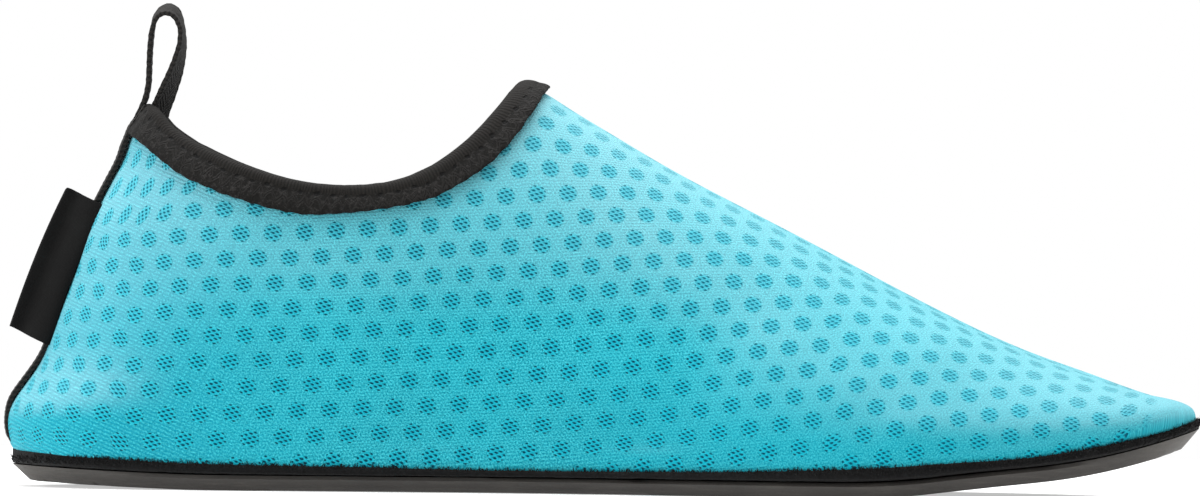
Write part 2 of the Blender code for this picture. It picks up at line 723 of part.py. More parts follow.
main()
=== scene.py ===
# %% [markdown]
# # Dressing a water shoe
# A water shoe is a knit sock with a thin rubber sole, so nearly all that is seen is cloth: a
# turquoise spacer knit, black elastic round the opening, webbing up the heel and a felt bottom.
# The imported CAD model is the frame: it gives every piece its place and size, in metres, with the
# toe along +X, the inner side of this left shoe towards -Y and the floor at z = 0.

# %% Load the frame
import math
import random

import bpy
import numpy as np
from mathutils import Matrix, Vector, noise
from mathutils.bvhtree import BVHTree


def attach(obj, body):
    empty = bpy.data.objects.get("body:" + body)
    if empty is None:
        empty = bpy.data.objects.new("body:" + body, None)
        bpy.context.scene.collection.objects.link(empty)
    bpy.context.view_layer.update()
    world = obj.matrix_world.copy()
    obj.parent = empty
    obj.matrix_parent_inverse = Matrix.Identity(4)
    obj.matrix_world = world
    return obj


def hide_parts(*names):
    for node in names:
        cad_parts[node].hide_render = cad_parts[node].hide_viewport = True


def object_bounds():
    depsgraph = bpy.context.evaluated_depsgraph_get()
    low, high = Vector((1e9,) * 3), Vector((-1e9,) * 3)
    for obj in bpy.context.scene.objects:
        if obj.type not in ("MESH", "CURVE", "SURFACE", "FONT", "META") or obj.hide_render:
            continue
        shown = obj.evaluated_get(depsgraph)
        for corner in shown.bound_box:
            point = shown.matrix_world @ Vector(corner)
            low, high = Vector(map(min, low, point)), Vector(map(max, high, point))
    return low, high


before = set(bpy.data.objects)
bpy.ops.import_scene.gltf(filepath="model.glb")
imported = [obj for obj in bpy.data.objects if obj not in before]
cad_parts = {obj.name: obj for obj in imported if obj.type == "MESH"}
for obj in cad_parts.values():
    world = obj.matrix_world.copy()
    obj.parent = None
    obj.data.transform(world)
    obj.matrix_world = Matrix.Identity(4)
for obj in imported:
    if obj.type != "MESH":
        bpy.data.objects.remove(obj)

CAD_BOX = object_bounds()
MM = 0.001
print("pieces in the frame:", ", ".join(sorted(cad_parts)))
print("box in mm:", [[round(v / MM, 1) for v in corner] for corner in CAD_BOX])

# %% [markdown]
# ## Shader sums that read like sums
# A knit is easier to describe with arithmetic than by wiring nodes by hand. This class wraps one
# socket: adding, multiplying or comparing two of them adds the matching Math node. Colours never
# pass through it, because a Math node would turn them grey: Mix nodes blend them further down.


# %% A socket that does arithmetic
class Field:
    def __init__(self, maker, socket):
        self.maker, self.socket = maker, socket

    def sum(self, operation, *others):
        values = {place: other for place, other in enumerate((self,) + others)}
        return self.maker.node("Math", {"operation": operation}, values)

    def __add__(self, other):
        return self.sum("ADD", other)

    def __sub__(self, other):
        return self.sum("SUBTRACT", other)

    def __rsub__(self, other):
        return self.maker.node("Math", {"operation": "SUBTRACT"}, {0: other, 1: self})

    def __mul__(self, other):
        return self.sum("MULTIPLY", other)

    def __truediv__(self, other):
        return self.sum("DIVIDE", other)

    def __lt__(self, other):
        return self.sum("LESS_THAN", other)

    __radd__ = __add__

    def sin(self):
        return self.sum("SINE")

    def size(self):
        return self.sum("ABSOLUTE")

    def root(self):
        return self.sum("SQRT")

    def most(self, other):
        return self.sum("MAXIMUM", other)

    def within(self, half):
        """Folds an endless coordinate into cells that run from -half to half."""
        return self.sum("WRAP", half, -half)

    def ramp(self, low, high):
        """Rises smoothly from 0 at low to 1 at high; falls instead where high is the lower."""
        first, last = (0, 1) if low < high else (1, 0)
        ends = {"Value": self, "From Min": min(low, high), "From Max": max(low, high)}
        ends.update({"To Min": first, "To Max": last})
        return self.maker.node("MapRange", {"interpolation_type": "SMOOTHSTEP"}, ends)

    def waves(self, pitch):
        """Swings smoothly between 0 and 1, once in each pitch."""
        return (self * (2 * math.pi / pitch)).sin() * 0.5 + 0.5


# %% A maker of one material
class Maker:
    def __init__(self, name):
        self.material = bpy.data.materials.new(name)
        self.material.use_nodes = True
        self.tree = self.material.node_tree
        self.shader = self.tree.nodes["Principled BSDF"]

    def node(self, kind, settings, sockets, out=0):
        """Adds one node: its settings first, then the value or the link of each socket."""
        made = self.tree.nodes.new("ShaderNode" + kind)
        for setting, value in settings.items():
            setattr(made, setting, value)
        for place, value in sockets.items():
            self.plug(made.inputs[place], value)
        return Field(self, made.outputs[out])

    def plug(self, socket, value):
        if isinstance(value, Field):
            self.tree.links.new(value.socket, socket)
        elif isinstance(value, (tuple, list)) and len(value) == 3 and socket.type == "RGBA":
            socket.default_value = (*value, 1)
        else:
            socket.default_value = value

    def place(self):
        """Where the point is on the object, in metres."""
        return self.node("TexCoord", {}, {}, "Object")

    def parts(self, vector, scale=1 / MM):
        """The three parts of a vector, here in millimetres."""
        split = self.node("SeparateXYZ", {}, {0: vector})
        return [Field(self, s) * scale for s in split.socket.node.outputs]

    def kept(self, name):
        """A coordinate that was stored on the mesh, in millimetres."""
        stored = self.node("Attribute", {"attribute_name": name}, {}, 1)
        split = self.node("SeparateXYZ", {}, {0: stored})
        return [Field(self, s) for s in split.socket.node.outputs]

    def vector(self, x, y, z=0):
        return self.node("CombineXYZ", {}, {0: x, 1: y, 2: z})

    def noise(self, scale, detail=2, roughness=0.5, where=None):
        where = where or self.place()
        values = {"Vector": where, "Scale": scale, "Detail": detail, "Roughness": roughness}
        return self.node("TexNoise", {}, values, 0)

    def blend(self, share, first, second):
        values = {0: share, 6: first, 7: second}
        return self.node("Mix", {"data_type": "RGBA"}, values, 2)

    def finish(self, colour, roughness, height, depth, **looks):
        """Feeds the shader. height is in units of depth, which is in metres."""
        self.plug(self.shader.inputs["Base Color"], colour)
        self.plug(self.shader.inputs["Roughness"], roughness)
        relief = {"Height": height, "Distance": depth, "Strength": 1.0}
        bump = self.node("Bump", {}, relief, "Normal")
        self.plug(self.shader.inputs["Normal"], bump)
        for socket, value in looks.items():
            self.plug(self.shader.inputs[socket.replace("_", " ")], value)
        return self.material


def put_in_scene(name, data):
    placed = bpy.data.objects.new(name, data)
    bpy.context.scene.collection.objects.link(placed)
    return placed


def paint(*levels):
    """An sRGB colour of 0 to 255, as the linear numbers that a shader wants."""
    shares = [level / 255 for level in levels]
    return tuple(((s + 0.055) / 1.055) ** 2.4 if s > 0.04 else s / 12.92 for s in shares)


def plain_weave(x, y, pitch):
    """Threads that go over and under each other: soft bumps, chequered, from 0 to 1."""
    turns = 2 * math.pi / pitch
    return (x * turns).sin() * (y * turns).sin() * 0.5 + 0.5


# %% [markdown]
# ## Starting a piece from its solid
# The cloth pieces keep the shape of their CAD solids, so each starts as a copy. A CAD mesh is
# loose triangles: merging its corners joins them, and turning pairs back into four-sided faces
# gives a subdivision surface something even to smooth. The solid stays for the physics, hidden.


# %% Copying a node and smoothing it
MERGE_WITHIN = 0.01
PAIR_BEND = math.radians(50)
PAIR_SKEW = math.radians(60)


def start_fresh():
    bpy.ops.object.select_all(action="DESELECT")


def take_up(piece):
    start_fresh()
    piece.select_set(True)
    bpy.context.view_layer.objects.active = piece


def subdivide(piece, levels):
    smoother = piece.modifiers.new("smooth", "SUBSURF")
    smoother.levels = smoother.render_levels = levels
    bpy.ops.object.modifier_apply(modifier=smoother.name)


def copy_of(node, name, levels):
    piece = put_in_scene(name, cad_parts[node].data.copy())
    piece.data.materials.clear()
    take_up(piece)
    bpy.ops.object.mode_set(mode="EDIT")
    bpy.ops.mesh.select_all(action="SELECT")
    bpy.ops.mesh.remove_doubles(threshold=MERGE_WITHIN * MM)
    bpy.ops.mesh.tris_convert_to_quads(face_threshold=PAIR_BEND, shape_threshold=PAIR_SKEW)
    bpy.ops.object.mode_set(mode="OBJECT")
    if levels:
        subdivide(piece, levels)
    bpy.ops.object.shade_smooth()
    print(f"{name}: {len(piece.data.vertices)} corners, {len(piece.data.polygons)} faces")
    return piece


# %% Reading and moving a mesh
def points_of(piece):
    flat = np.empty(len(piece.data.vertices) * 3)
    piece.data.vertices.foreach_get("co", flat)
    return flat.reshape(-1, 3)


def normals_of(piece):
    return np.array([v.normal for v in piece.data.vertices])


def skin_of(piece):
    """The faces as a tree, which is quick to ask where a ray hits or what is nearest."""
    faces = [p.vertices for p in piece.data.polygons]
    return BVHTree.FromPolygons([v.co for v in piece.data.vertices], faces)


def move_to(piece, points):
    piece.data.vertices.foreach_set("co", points.ravel())
    piece.data.update()


def keep_on(piece, name, values):
    """Stores three numbers at each corner of the mesh, for the material to read."""
    layer = piece.data.attributes.new(name, "FLOAT_VECTOR", "POINT")
    layer.data.foreach_set("vector", np.asarray(values, np.float32).ravel())


def settle(piece, material, slot, *nodes):
    """The piece gets its finish, rides on the shoe and stands for its solids."""
    piece.data.materials.append(material)
    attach(piece, "root")
    if nodes:
        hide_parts(*nodes)


def rise(values, low, high):
    """Smoothly from 0 at low to 1 at high."""
    share = np.clip((values - low) / (high - low), 0, 1)
    return share * share * (3 - 2 * share)


def way_along(steps):
    """How far from the start each step ends."""
    return np.concatenate([[0], np.cumsum(steps)])


# %% [markdown]
# ## Camera, floor and light
# The photograph looks square at the inner side from far away, so the lens is long. The shoe nearly
# fills the frame, and the picture is rolled by less than a degree. The studio is white all round,
# and broad lights above and in front leave the ridge of the instep pale and the side wall deeper.
# The sky is white to the camera and dimmer to everything else, and the floor glows a little, so
# that it is white right up to the sole.

# %% Camera
FRAME_WIDTH = 0.2661
FRAME_CENTRE_Z = 0.0541
CAMERA_DISTANCE = 2.4
SENSOR_WIDTH = 36
ROLL = math.radians(0.65)

lens = bpy.data.cameras.new("camera")
lens.sensor_width = SENSOR_WIDTH
lens.lens = SENSOR_WIDTH * CAMERA_DISTANCE / FRAME_WIDTH
camera = put_in_scene("camera", lens)
camera.location = (0, -CAMERA_DISTANCE, FRAME_CENTRE_Z)
camera.rotation_euler = (math.radians(90), -ROLL, 0)
bpy.context.scene.camera = camera
bpy.context.scene.view_settings.view_transform = "Standard"

# %% Floor
FLOOR_GLOW = 0.48
FLOOR_LENGTH, FLOOR_DEPTH = 3.0, 0.9
FLOOR_DARK, FLOOR_LIGHT = (0.60, 0.60, 0.60), (0.64, 0.64, 0.64)
MOTTLE_SCALE = 3.0
WHITE = (1, 1, 1)
start_fresh()
bpy.ops.mesh.primitive_plane_add(size=1, location=(0, 0, 0))
floor = bpy.context.active_object
floor.name = "floor"
bpy.ops.transform.resize(value=(FLOOR_LENGTH, FLOOR_DEPTH, 1))
bpy.ops.object.transform_apply(scale=True)
floor_maker = Maker("studio_floor")
floor_mottle = floor_maker.noise(MOTTLE_SCALE)
floor_colour = floor_maker.blend(floor_mottle, FLOOR_DARK, FLOOR_LIGHT)
glow = {"Emission_Color": WHITE, "Emission_Strength": FLOOR_GLOW, "Specular_IOR_Level": 0.0}
floor.data.materials.append(
    floor_maker.finish(floor_colour, 0.9, floor_mottle, 0.1 * MM, **glow))

# %% Sky
SKY_LIGHT = 0.35
SKY_SEEN = 1.0
world = bpy.data.worlds.new("studio")
bpy.context.scene.world = world
world.use_nodes = True
sky = world.node_tree
dim, white = sky.nodes["Background"], sky.nodes.new("ShaderNodeBackground")
for light, strength in ((dim, SKY_LIGHT), (white, SKY_SEEN)):
    light.inputs["Color"].default_value = (*WHITE, 1)
    light.inputs["Strength"].default_value = strength
seen = sky.nodes.new("ShaderNodeMixShader")
sky.links.new(sky.nodes.new("ShaderNodeLightPath").outputs["Is Camera Ray"], seen.inputs[0])
sky.links.new(dim.outputs[0], seen.inputs[1])
sky.links.new(white.outputs[0], seen.inputs[2])
sky.links.new(seen.outputs[0], sky.nodes["World Output"].inputs["Surface"])

# %% Lights
AIM = Vector((0, 0, 0.04))
LIGHT_COLUMNS = ("name", "x", "y", "z", "width", "depth", "watts")
LIGHTS = (
    ("above", 0.05, 0.10, 1.10, 1.6, 1.0, 27.5),
    ("front", -0.60, -1.70, 0.60, 1.2, 0.9, 5.5),
    ("left", -1.30, -0.45, 0.60, 0.9, 0.9, 14.0),
)
for row in LIGHTS:
    light = dict(zip(LIGHT_COLUMNS, row))
    lamp = bpy.data.lights.new(light["name"], "AREA")
    lamp.shape = "RECTANGLE"
    lamp.size, lamp.size_y, lamp.energy = light["width"], light["depth"], light["watts"]
    holder = put_in_scene(light["name"], lamp)
    holder.location = (light["x"], light["y"], light["z"])
    way = AIM - holder.location
    holder.rotation_euler = way.to_track_quat("-Z", "Y").to_euler()

# %% [markdown]
# ## A tape measure round the upper
# The knit is a flat cloth with a staggered pattern of open patches. On the shoe its rows run along
# the sole and wrap over the instep, so the pattern needs to know how far up the cloth a point is,
# and how far along. Rays are sent in towards a line inside the shoe, as a fan round the heel,
# square across the middle and as a fan round the toe. Adding up the steps between the hits is
# the same as laying a tape on the cloth: upwards gives the girth, lengthwise the length.

# %% Where the tape is laid
upper = copy_of("upper", "upper_knit", 2)
SHOE_BACK = CAD_BOX[0][0] + 0.0030
HEEL_AXIS_X = SHOE_BACK + 0.0343
TOE_AXIS_X = SHOE_BACK + 0.2432
AXIS_Y = -0.00123
STEPS_UP = 60
REACH = 0.2
TAPE_PITCH = 2 * MM
FAN_STEPS = 12
FAN_TURN = 90 / FAN_STEPS
EDGE_HEIGHT, EDGE_SPRING, EDGE_CURVE = 0.0062, 0.0115, 2.1
SPRING_START, SPRING_RUN = 0.185, 0.0774
RIDGE_LEAN, LEAN_START, LEAN_END = 0.0110, 0.080, 0.235


def lower_edge(x):
    """How high the upper's lower edge is, by the shoe's toe spring."""
    share = np.clip((x - SHOE_BACK - SPRING_START) / SPRING_RUN, 0, 1)
    return EDGE_HEIGHT + EDGE_SPRING * share ** EDGE_CURVE


def middle(x):
    """The line under the ridge of the instep, which leans to the inner side at the toe."""
    return AXIS_Y - RIDGE_LEAN * rise(x, SHOE_BACK + LEAN_START, SHOE_BACK + LEAN_END)


def stations(side):
    """Where each tape starts and which way it faces, from the heel's back to the toe's tip."""
    fan = [math.radians(turn) for turn in np.linspace(0, 90, FAN_STEPS + 1)]
    for way in fan[:-1]:
        yield HEEL_AXIS_X, -math.cos(way), side * math.sin(way)
    for x in np.arange(HEEL_AXIS_X, TOE_AXIS_X, TAPE_PITCH):
        yield x, 0.0, float(side)
    for way in fan:
        yield TOE_AXIS_X, math.sin(way), side * math.cos(way)


# %% Laying it
cloth = skin_of(upper)


def lay_tape(side):
    girth, length, walls = [], [], []
    for x, way_x, way_y in stations(side):
        start = Vector((x, float(middle(x)), float(lower_edge(x))))
        hits = []
        for step in range(STEPS_UP + 1):
            up = math.radians(90 * step / STEPS_UP)
            ray = Vector((way_x * math.cos(up), way_y * math.cos(up), math.sin(up)))
            hit = cloth.ray_cast(start + ray * REACH, -ray, REACH)[0]
            hits.append(hit if hit is not None or not hits else hits[-1])
        first = next(hit for hit in hits if hit is not None)
        hits = [hit or first for hit in hits]
        walls.append(hits)
        girth.append(way_along([(b - a).length / MM for a, b in zip(hits, hits[1:])]))
    for before, here in zip(walls[:1] + walls, walls):
        length.append([(b - a).length / MM for a, b in zip(before, here)])
    return np.array(girth), np.cumsum(np.array(length), axis=0)


tapes = {side: lay_tape(side) for side in (-1, 1)}
half_way = len(tapes[-1][0]) // 2
print("girth over the inner side at mid length:", round(float(tapes[-1][0][half_way][-1])), "mm")

# %% [markdown]
# ## Rows and columns of the knit
# The pattern's rows are 5.65 mm apart and its patches 7.2 mm apart in a row, each row shifted by
# half. This table says, along the shoe, how many rows have run off the lower edge and how much the
# columns lean back as they climb, both judged from the photograph. On the outer side the same
# cloth is mirrored about the ridge of the instep, so the pattern meets itself there.

# %% Where the pattern lies
ROW_PITCH = 5.65
HALF_PITCH = 3.6
PATTERN_COLUMNS = ("from_heel", "rows_run_off", "lean")
PATTERN = (
    (0, -0.10, 0.04), (27, 0.00, 0.05), (63, 0.27, 0.065), (93, 0.58, 0.09), (121, 0.90, 0.11),
    (148, 1.37, 0.13), (177, 2.00, 0.16), (206, 2.72, 0.22), (233, 3.05, 0.36), (262, 3.10, 0.50),
)
ZERO_COLUMN_STATION = 55
ZERO_COLUMN_PLACE = 71.6


def pattern(column, x):
    """Reads one column of the table, at a place along the shoe."""
    place = PATTERN_COLUMNS.index(column)
    from_heel, values = [row[0] for row in PATTERN], [row[place] for row in PATTERN]
    return np.interp((x - SHOE_BACK) / MM, from_heel, values)


def table_at(table, along, up):
    """Reads a grid of numbers between its rows and columns, up to just inside the last."""
    along = np.clip(along, 0, table.shape[0] - 1.001)
    up = np.clip(up, 0, table.shape[1] - 1.001)
    i, j = along.astype(int), up.astype(int)
    s, t = along - i, up - j
    low = table[i, j] * (1 - s) + table[i + 1, j] * s
    high = table[i, j + 1] * (1 - s) + table[i + 1, j + 1] * s
    return low * (1 - t) + high * t


def on_the_tape(points):
    """Which side each point is on, its station along the tape and its step up."""
    x, y, z = points.T
    side = np.where(y < middle(x), -1, 1)
    sideways = np.abs(y - middle(x))
    straight = (x - HEEL_AXIS_X) / TAPE_PITCH + FAN_STEPS
    toe_start = FAN_STEPS + len(np.arange(HEEL_AXIS_X, TOE_AXIS_X, TAPE_PITCH))
    heel_turn = np.degrees(np.arctan2(sideways, HEEL_AXIS_X - x)) / FAN_TURN
    toe_turn = toe_start + np.degrees(np.arctan2(x - TOE_AXIS_X, sideways)) / FAN_TURN
    along = np.where(x < HEEL_AXIS_X, heel_turn, np.where(x > TOE_AXIS_X, toe_turn, straight))
    reach = np.where(x < HEEL_AXIS_X, np.hypot(sideways, HEEL_AXIS_X - x), sideways)
    reach = np.where(x > TOE_AXIS_X, np.hypot(sideways, x - TOE_AXIS_X), reach)
    up = np.degrees(np.arctan2(z - lower_edge(x), reach)) * STEPS_UP / 90
    return side, along, up


def knit_place(points):
    """Length and girth on the cloth, in mm, for each point of the upper."""
    side, along, up = on_the_tape(points)
    top = np.full(len(points), float(STEPS_UP))
    lean, run_off = pattern("lean", points[:, 0]), pattern("rows_run_off", points[:, 0])
    read = {}
    for hand in (-1, 1):
        girth, length = tapes[hand]
        length = length - length[ZERO_COLUMN_STATION][None, :] + ZERO_COLUMN_PLACE
        read[hand] = [table_at(t, along, u) for t in (girth, length) for u in (up, top)]
    inner_girth, inner_top, inner_length, inner_length_top = read[-1]
    outer_girth, outer_top, outer_length, outer_length_top = read[1]
    inner = side < 0
    girth = np.where(inner, inner_girth, inner_top - (outer_top - outer_girth))
    length = np.where(inner, inner_length, outer_length - outer_length_top + inner_length_top)
    return np.stack([length + lean * girth, run_off * ROW_PITCH - girth, up], axis=1)


keep_on(upper, "knit", knit_place(points_of(upper)))

# %% [markdown]
# ## The upper's soft shape
# Stretched over a last, this knit shows no sharp fold. What the photograph does show are broad
# swells: a hollow along the arch, a slanting trough from the arch up to the instep, a fuller heel,
# and a roll where the toe's top meets its side. Each is one row here, in the shoe's own
# millimetres: a line from one point of the side wall to another, with a width and a depth.

# %% Soft troughs and ridges
SWELL_COLUMNS = ("name", "side", "x1", "z1", "x2", "z2", "width", "depth")
SWELLS = (
    ("arch hollow", -1, 92, 12, 145, 22, 15, -0.7),
    ("instep trough", -1, 140, 16, 163, 42, 9, -0.55),
    ("ball swell", -1, 168, 14, 196, 24, 12, 0.4),
    ("heel swell", -1, 20, 22, 40, 34, 12, 0.35),
    ("toe roll", -1, 196, 16, 254, 19, 4.5, 0.7),
    ("toe dip", -1, 210, 29, 250, 24, 5, -0.35),
    ("collar pull", -1, 62, 55, 84, 52, 6, -0.3),
    ("outer waist hollow", 1, 80, 16, 130, 20, 16, -0.4),
    ("outer instep trough", 1, 140, 18, 168, 40, 10, -0.4),
    ("outer toe roll", 1, 196, 16, 236, 18, 4, 0.3),
    ("outer collar pull", 1, 66, 52, 88, 50, 7, -0.3),
)
SWELL_FADE = (0.5, 6)


def swell(points):
    """How far each point moves out of the shoe, in metres."""
    moved = np.zeros(len(points))
    x = (points[:, 0] - SHOE_BACK) / MM
    z = points[:, 2] / MM
    side = np.where(points[:, 1] < middle(points[:, 0]), -1, 1)
    for row in SWELLS:
        fold = dict(zip(SWELL_COLUMNS, row))
        run = np.array([fold["x2"] - fold["x1"], fold["z2"] - fold["z1"]], float)
        share = ((x - fold["x1"]) * run[0] + (z - fold["z1"]) * run[1]) / (run @ run)
        share = np.clip(share, 0, 1)
        away = np.hypot(x - fold["x1"] - share * run[0], z - fold["z1"] - share * run[1])
        depth = np.where(side == fold["side"], fold["depth"] * MM, 0)
        moved += depth * np.exp(-(away / fold["width"]) ** 2)
    above = (points[:, 2] - lower_edge(points[:, 0])) / MM
    return moved * rise(above, *SWELL_FADE)


def out_of(points):
    """The way out of the shoe at each point: away from the line inside it."""
    x = np.clip(points[:, 0], HEEL_AXIS_X, TOE_AXIS_X)
    inside = np.stack([x, middle(x), lower_edge(x)], axis=1)
    away = points - inside
    return away / np.linalg.norm(away, axis=1)[:, None]


# %% [markdown]
# ## The corners of the opening
# Whoever pulls the shoe on pulls at the loop, so the webbing has drawn the back corner of the
# opening up and back into a point, and the front of the opening stands a little proud too. The
# knit, the binding and the tape all go through this one change, so they stay together. Each move
# is in millimetres and fades in between two places along the shoe (x) and two heights (z).

# %% Standing the corners up
CORNER_LIFT, CORNER_X, CORNER_Z = 4.0, (-106, -88), (58, 74)
TIP_LIFT, TIP_X, TIP_Z = 1.0, (-96.5, -93.5), (77, 80)
HEEL_LINE, HEEL_LINE_Z = 0.47, (68, 76)
HEEL_BACK, HEEL_BACK_X, HEEL_BACK_Z = 1.4, (-100, -86), (44, 62)
FRONT_LIFT, FRONT_X, FRONT_REACH, FRONT_Z = 1.1, -14, 6, (60, 80)


def stand_up(points):
    """Lifts the back corner along the line of the heel seam, and the front a little."""
    x, z = points[:, 0] / MM, points[:, 2] / MM
    lift = CORNER_LIFT * (1 - rise(x, *CORNER_X)) * rise(z, *CORNER_Z)
    lift += TIP_LIFT * (1 - rise(x, *TIP_X)) * rise(z, *TIP_Z)
    onward = HEEL_LINE * lift * (1 - rise(z, *HEEL_LINE_Z))
    onward -= HEEL_BACK * rise(z, *HEEL_BACK_Z) * (1 - rise(x, *HEEL_BACK_X))
    near_front = np.exp(-((x - FRONT_X) / FRONT_REACH) ** 2)
    lift += FRONT_LIFT * near_front * rise(z, *FRONT_Z)
    return points + np.stack([onward, onward * 0, lift], axis=1) * MM


# %% Moving the knit
EDGE_DROP = 0.45
EDGE_REACH = 3.0
rest = points_of(upper)
swelled = swell(rest)
moved = rest + out_of(rest) * swelled[:, None]
above_edge = (rest[:, 2] - lower_edge(rest[:, 0])) / MM
moved[:, 2] -= EDGE_DROP * MM * (1 - rise(above_edge, 0.0, EDGE_REACH))
move_to(upper, stand_up(moved))
print("deepest hollow and fullest swell, mm:", np.round(swelled.min() / MM, 2),
      np.round(swelled.max() / MM, 2))

# %% [markdown]
# ## Turquoise spacer knit
# Round patches, 4 mm wide, are open work: a dozen or so small slanted holes with tails, between
# turquoise threads. Between them the face is closed, with pits and ribs under a millimetre apart.
# Both come from the stored knit coordinates, so they follow the cloth round the heel and over the
# instep, and bump presses them in. Where the cloth faces up it is painted paler and its holes are
# painted fainter, a painted sheen for the light that fine hairs catch there. The lower front wall
# is painted darker, a painted shade.

# %% Sizes and colours in the knit
HOLE_PITCH, HOLE_ROW = 1.10, 0.93
PATCH_RADIUS = 2.05
PATCH_FLATNESS = 0.95
PATCH_TURN = math.radians(11)
PATCH_SHIFT_ALONG, PATCH_SHIFT_DOWN = 1.4, 1.35
SLIT_LONG, SLIT_SHORT, SLIT_TURN = 0.46, 0.24, math.radians(30)
TAIL_LONG, TAIL_SHORT, TAIL_BACK, TAIL_UP = 0.5, 0.13, 0.42, 0.04
THREAD_PITCH, THREAD_TURN = 0.47, math.radians(28)
DOT_PITCH, DOT_ROW = 0.84, 0.70
DOT_LONG, DOT_SHORT, DOT_TURN = 0.34, 0.17, math.radians(22)
RIB_PITCH, RIB_SLOPE = 0.82, math.radians(23)
FRONT_RIB_PITCH, FRONT_RIB_TURN = 0.66, math.radians(-38)
GRAINS_PER_MM = 2.7
KNIT_COLOURS = {
    "between stitches": paint(6, 130, 148),
    "stitches": paint(72, 197, 209),
    "cloud": paint(36, 188, 205),
    "pits": paint(4, 128, 152),
    "threads in shade": paint(2, 112, 138),
    # Painted shade: the darker colour of the lower front wall.
    "painted shade low in front": paint(4, 110, 128),
    # Painted sheen: the pale colour laid where the cloth faces up.
    "nap": paint(208, 232, 237),
    "patch": paint(4, 172, 194),
    "holes at the back": paint(0, 58, 78),
    "holes in front": paint(0, 82, 104),
    # Painted highlight: holes on upward faces are coloured paler.
    "holes painted paler on top": paint(0, 106, 128),
}


# %% Nets, slants and ovals
def nearest(across, down, half_across, half_down):
    """Distances to the nearest point of a staggered net, sideways and downwards."""
    first = across.within(half_across), down.within(half_down)
    second = (across + half_across).within(half_across), (down + half_down).within(half_down)
    first_gap = first[0] * first[0] + first[1] * first[1]
    second_gap = second[0] * second[0] + second[1] * second[1]
    other = second_gap < first_gap
    return [a + (b - a) * other for a, b in zip(first, second)]


def turned(x, y, angle):
    """The same place, measured along and across a line that slants down by angle."""
    return x * math.cos(angle) + y * math.sin(angle), y * math.cos(angle) - x * math.sin(angle)


def oval(x, y, long, short):
    """0 at the middle of an oval, 1 on its rim."""
    return ((x / long) * (x / long) + (y / short) * (y / short)).root()


# %% Open patches, closed face and painted sheen
def open_patches(along, rows, wander, behind_tip):
    """How far the nearest patch's middle is, then its disc, its holes and its threads."""
    shift_down = along.ramp(165, 60) * PATCH_SHIFT_DOWN
    to_x, to_y = nearest(along - PATCH_SHIFT_ALONG, rows - shift_down, HALF_PITCH, ROW_PITCH)
    from_middle = oval(to_x, to_y, PATCH_RADIUS, PATCH_RADIUS * PATCH_FLATNESS)
    disc = from_middle.ramp(1.08, 0.92) * behind_tip
    net_x, net_y = turned(to_x, to_y, -PATCH_TURN)
    hole_x, hole_y = nearest(net_x + wander * 0.35, net_y, HOLE_PITCH / 2, HOLE_ROW)
    slit_x, slit_y = turned(hole_x, hole_y, SLIT_TURN)
    slit = oval(slit_x, slit_y, SLIT_LONG, SLIT_SHORT).ramp(1.15, 0.5)
    tail = oval(slit_x + TAIL_BACK, slit_y + TAIL_UP, TAIL_LONG, TAIL_SHORT).ramp(1.3, 0.3)
    threads = turned(to_x, to_y, THREAD_TURN)[1].waves(THREAD_PITCH)
    return from_middle, disc, slit.most(tail * 0.6) * disc, threads


def closed_face(along, rows, x, z, wander):
    """Pits between the stitches: dots on the side, ribs at the heel and steeper ones in front."""
    at_heel, at_toe = along.ramp(30, -25), along.ramp(90, 150)
    dot_x, dot_y = nearest(along + wander * 0.4, rows, DOT_PITCH / 2, DOT_ROW)
    dots = oval(*turned(dot_x, dot_y, DOT_TURN), DOT_LONG, DOT_SHORT).ramp(1.3, 0.5)
    rib_across = x * math.sin(RIB_SLOPE) + z * math.cos(RIB_SLOPE) + wander * 0.18
    front_across = turned(along, rows, FRONT_RIB_TURN)[1] + wander * 0.2
    pits = (dots * (0.7 - at_toe * 0.3)).most(
        (1 - rib_across.waves(RIB_PITCH)) * (0.14 + at_heel * 0.8))
    return pits.most((1 - front_across.waves(FRONT_RIB_PITCH)) * at_toe * 0.3)


def painted_sheen_on_top(facing_up, x, z):
    """Painted sheen, paler where the cloth faces up; judged along the ridge of the instep."""
    nap = facing_up.ramp(0.0, 0.5) * 0.18 + facing_up.ramp(0.5, 0.95) * 0.11
    nap = nap * (1 - x.ramp(10, 60) * 0.26 + x.ramp(75, 115) * 0.14)
    return nap + z.ramp(36, 54) * (1 - x.ramp(-5, 25)) * 0.05


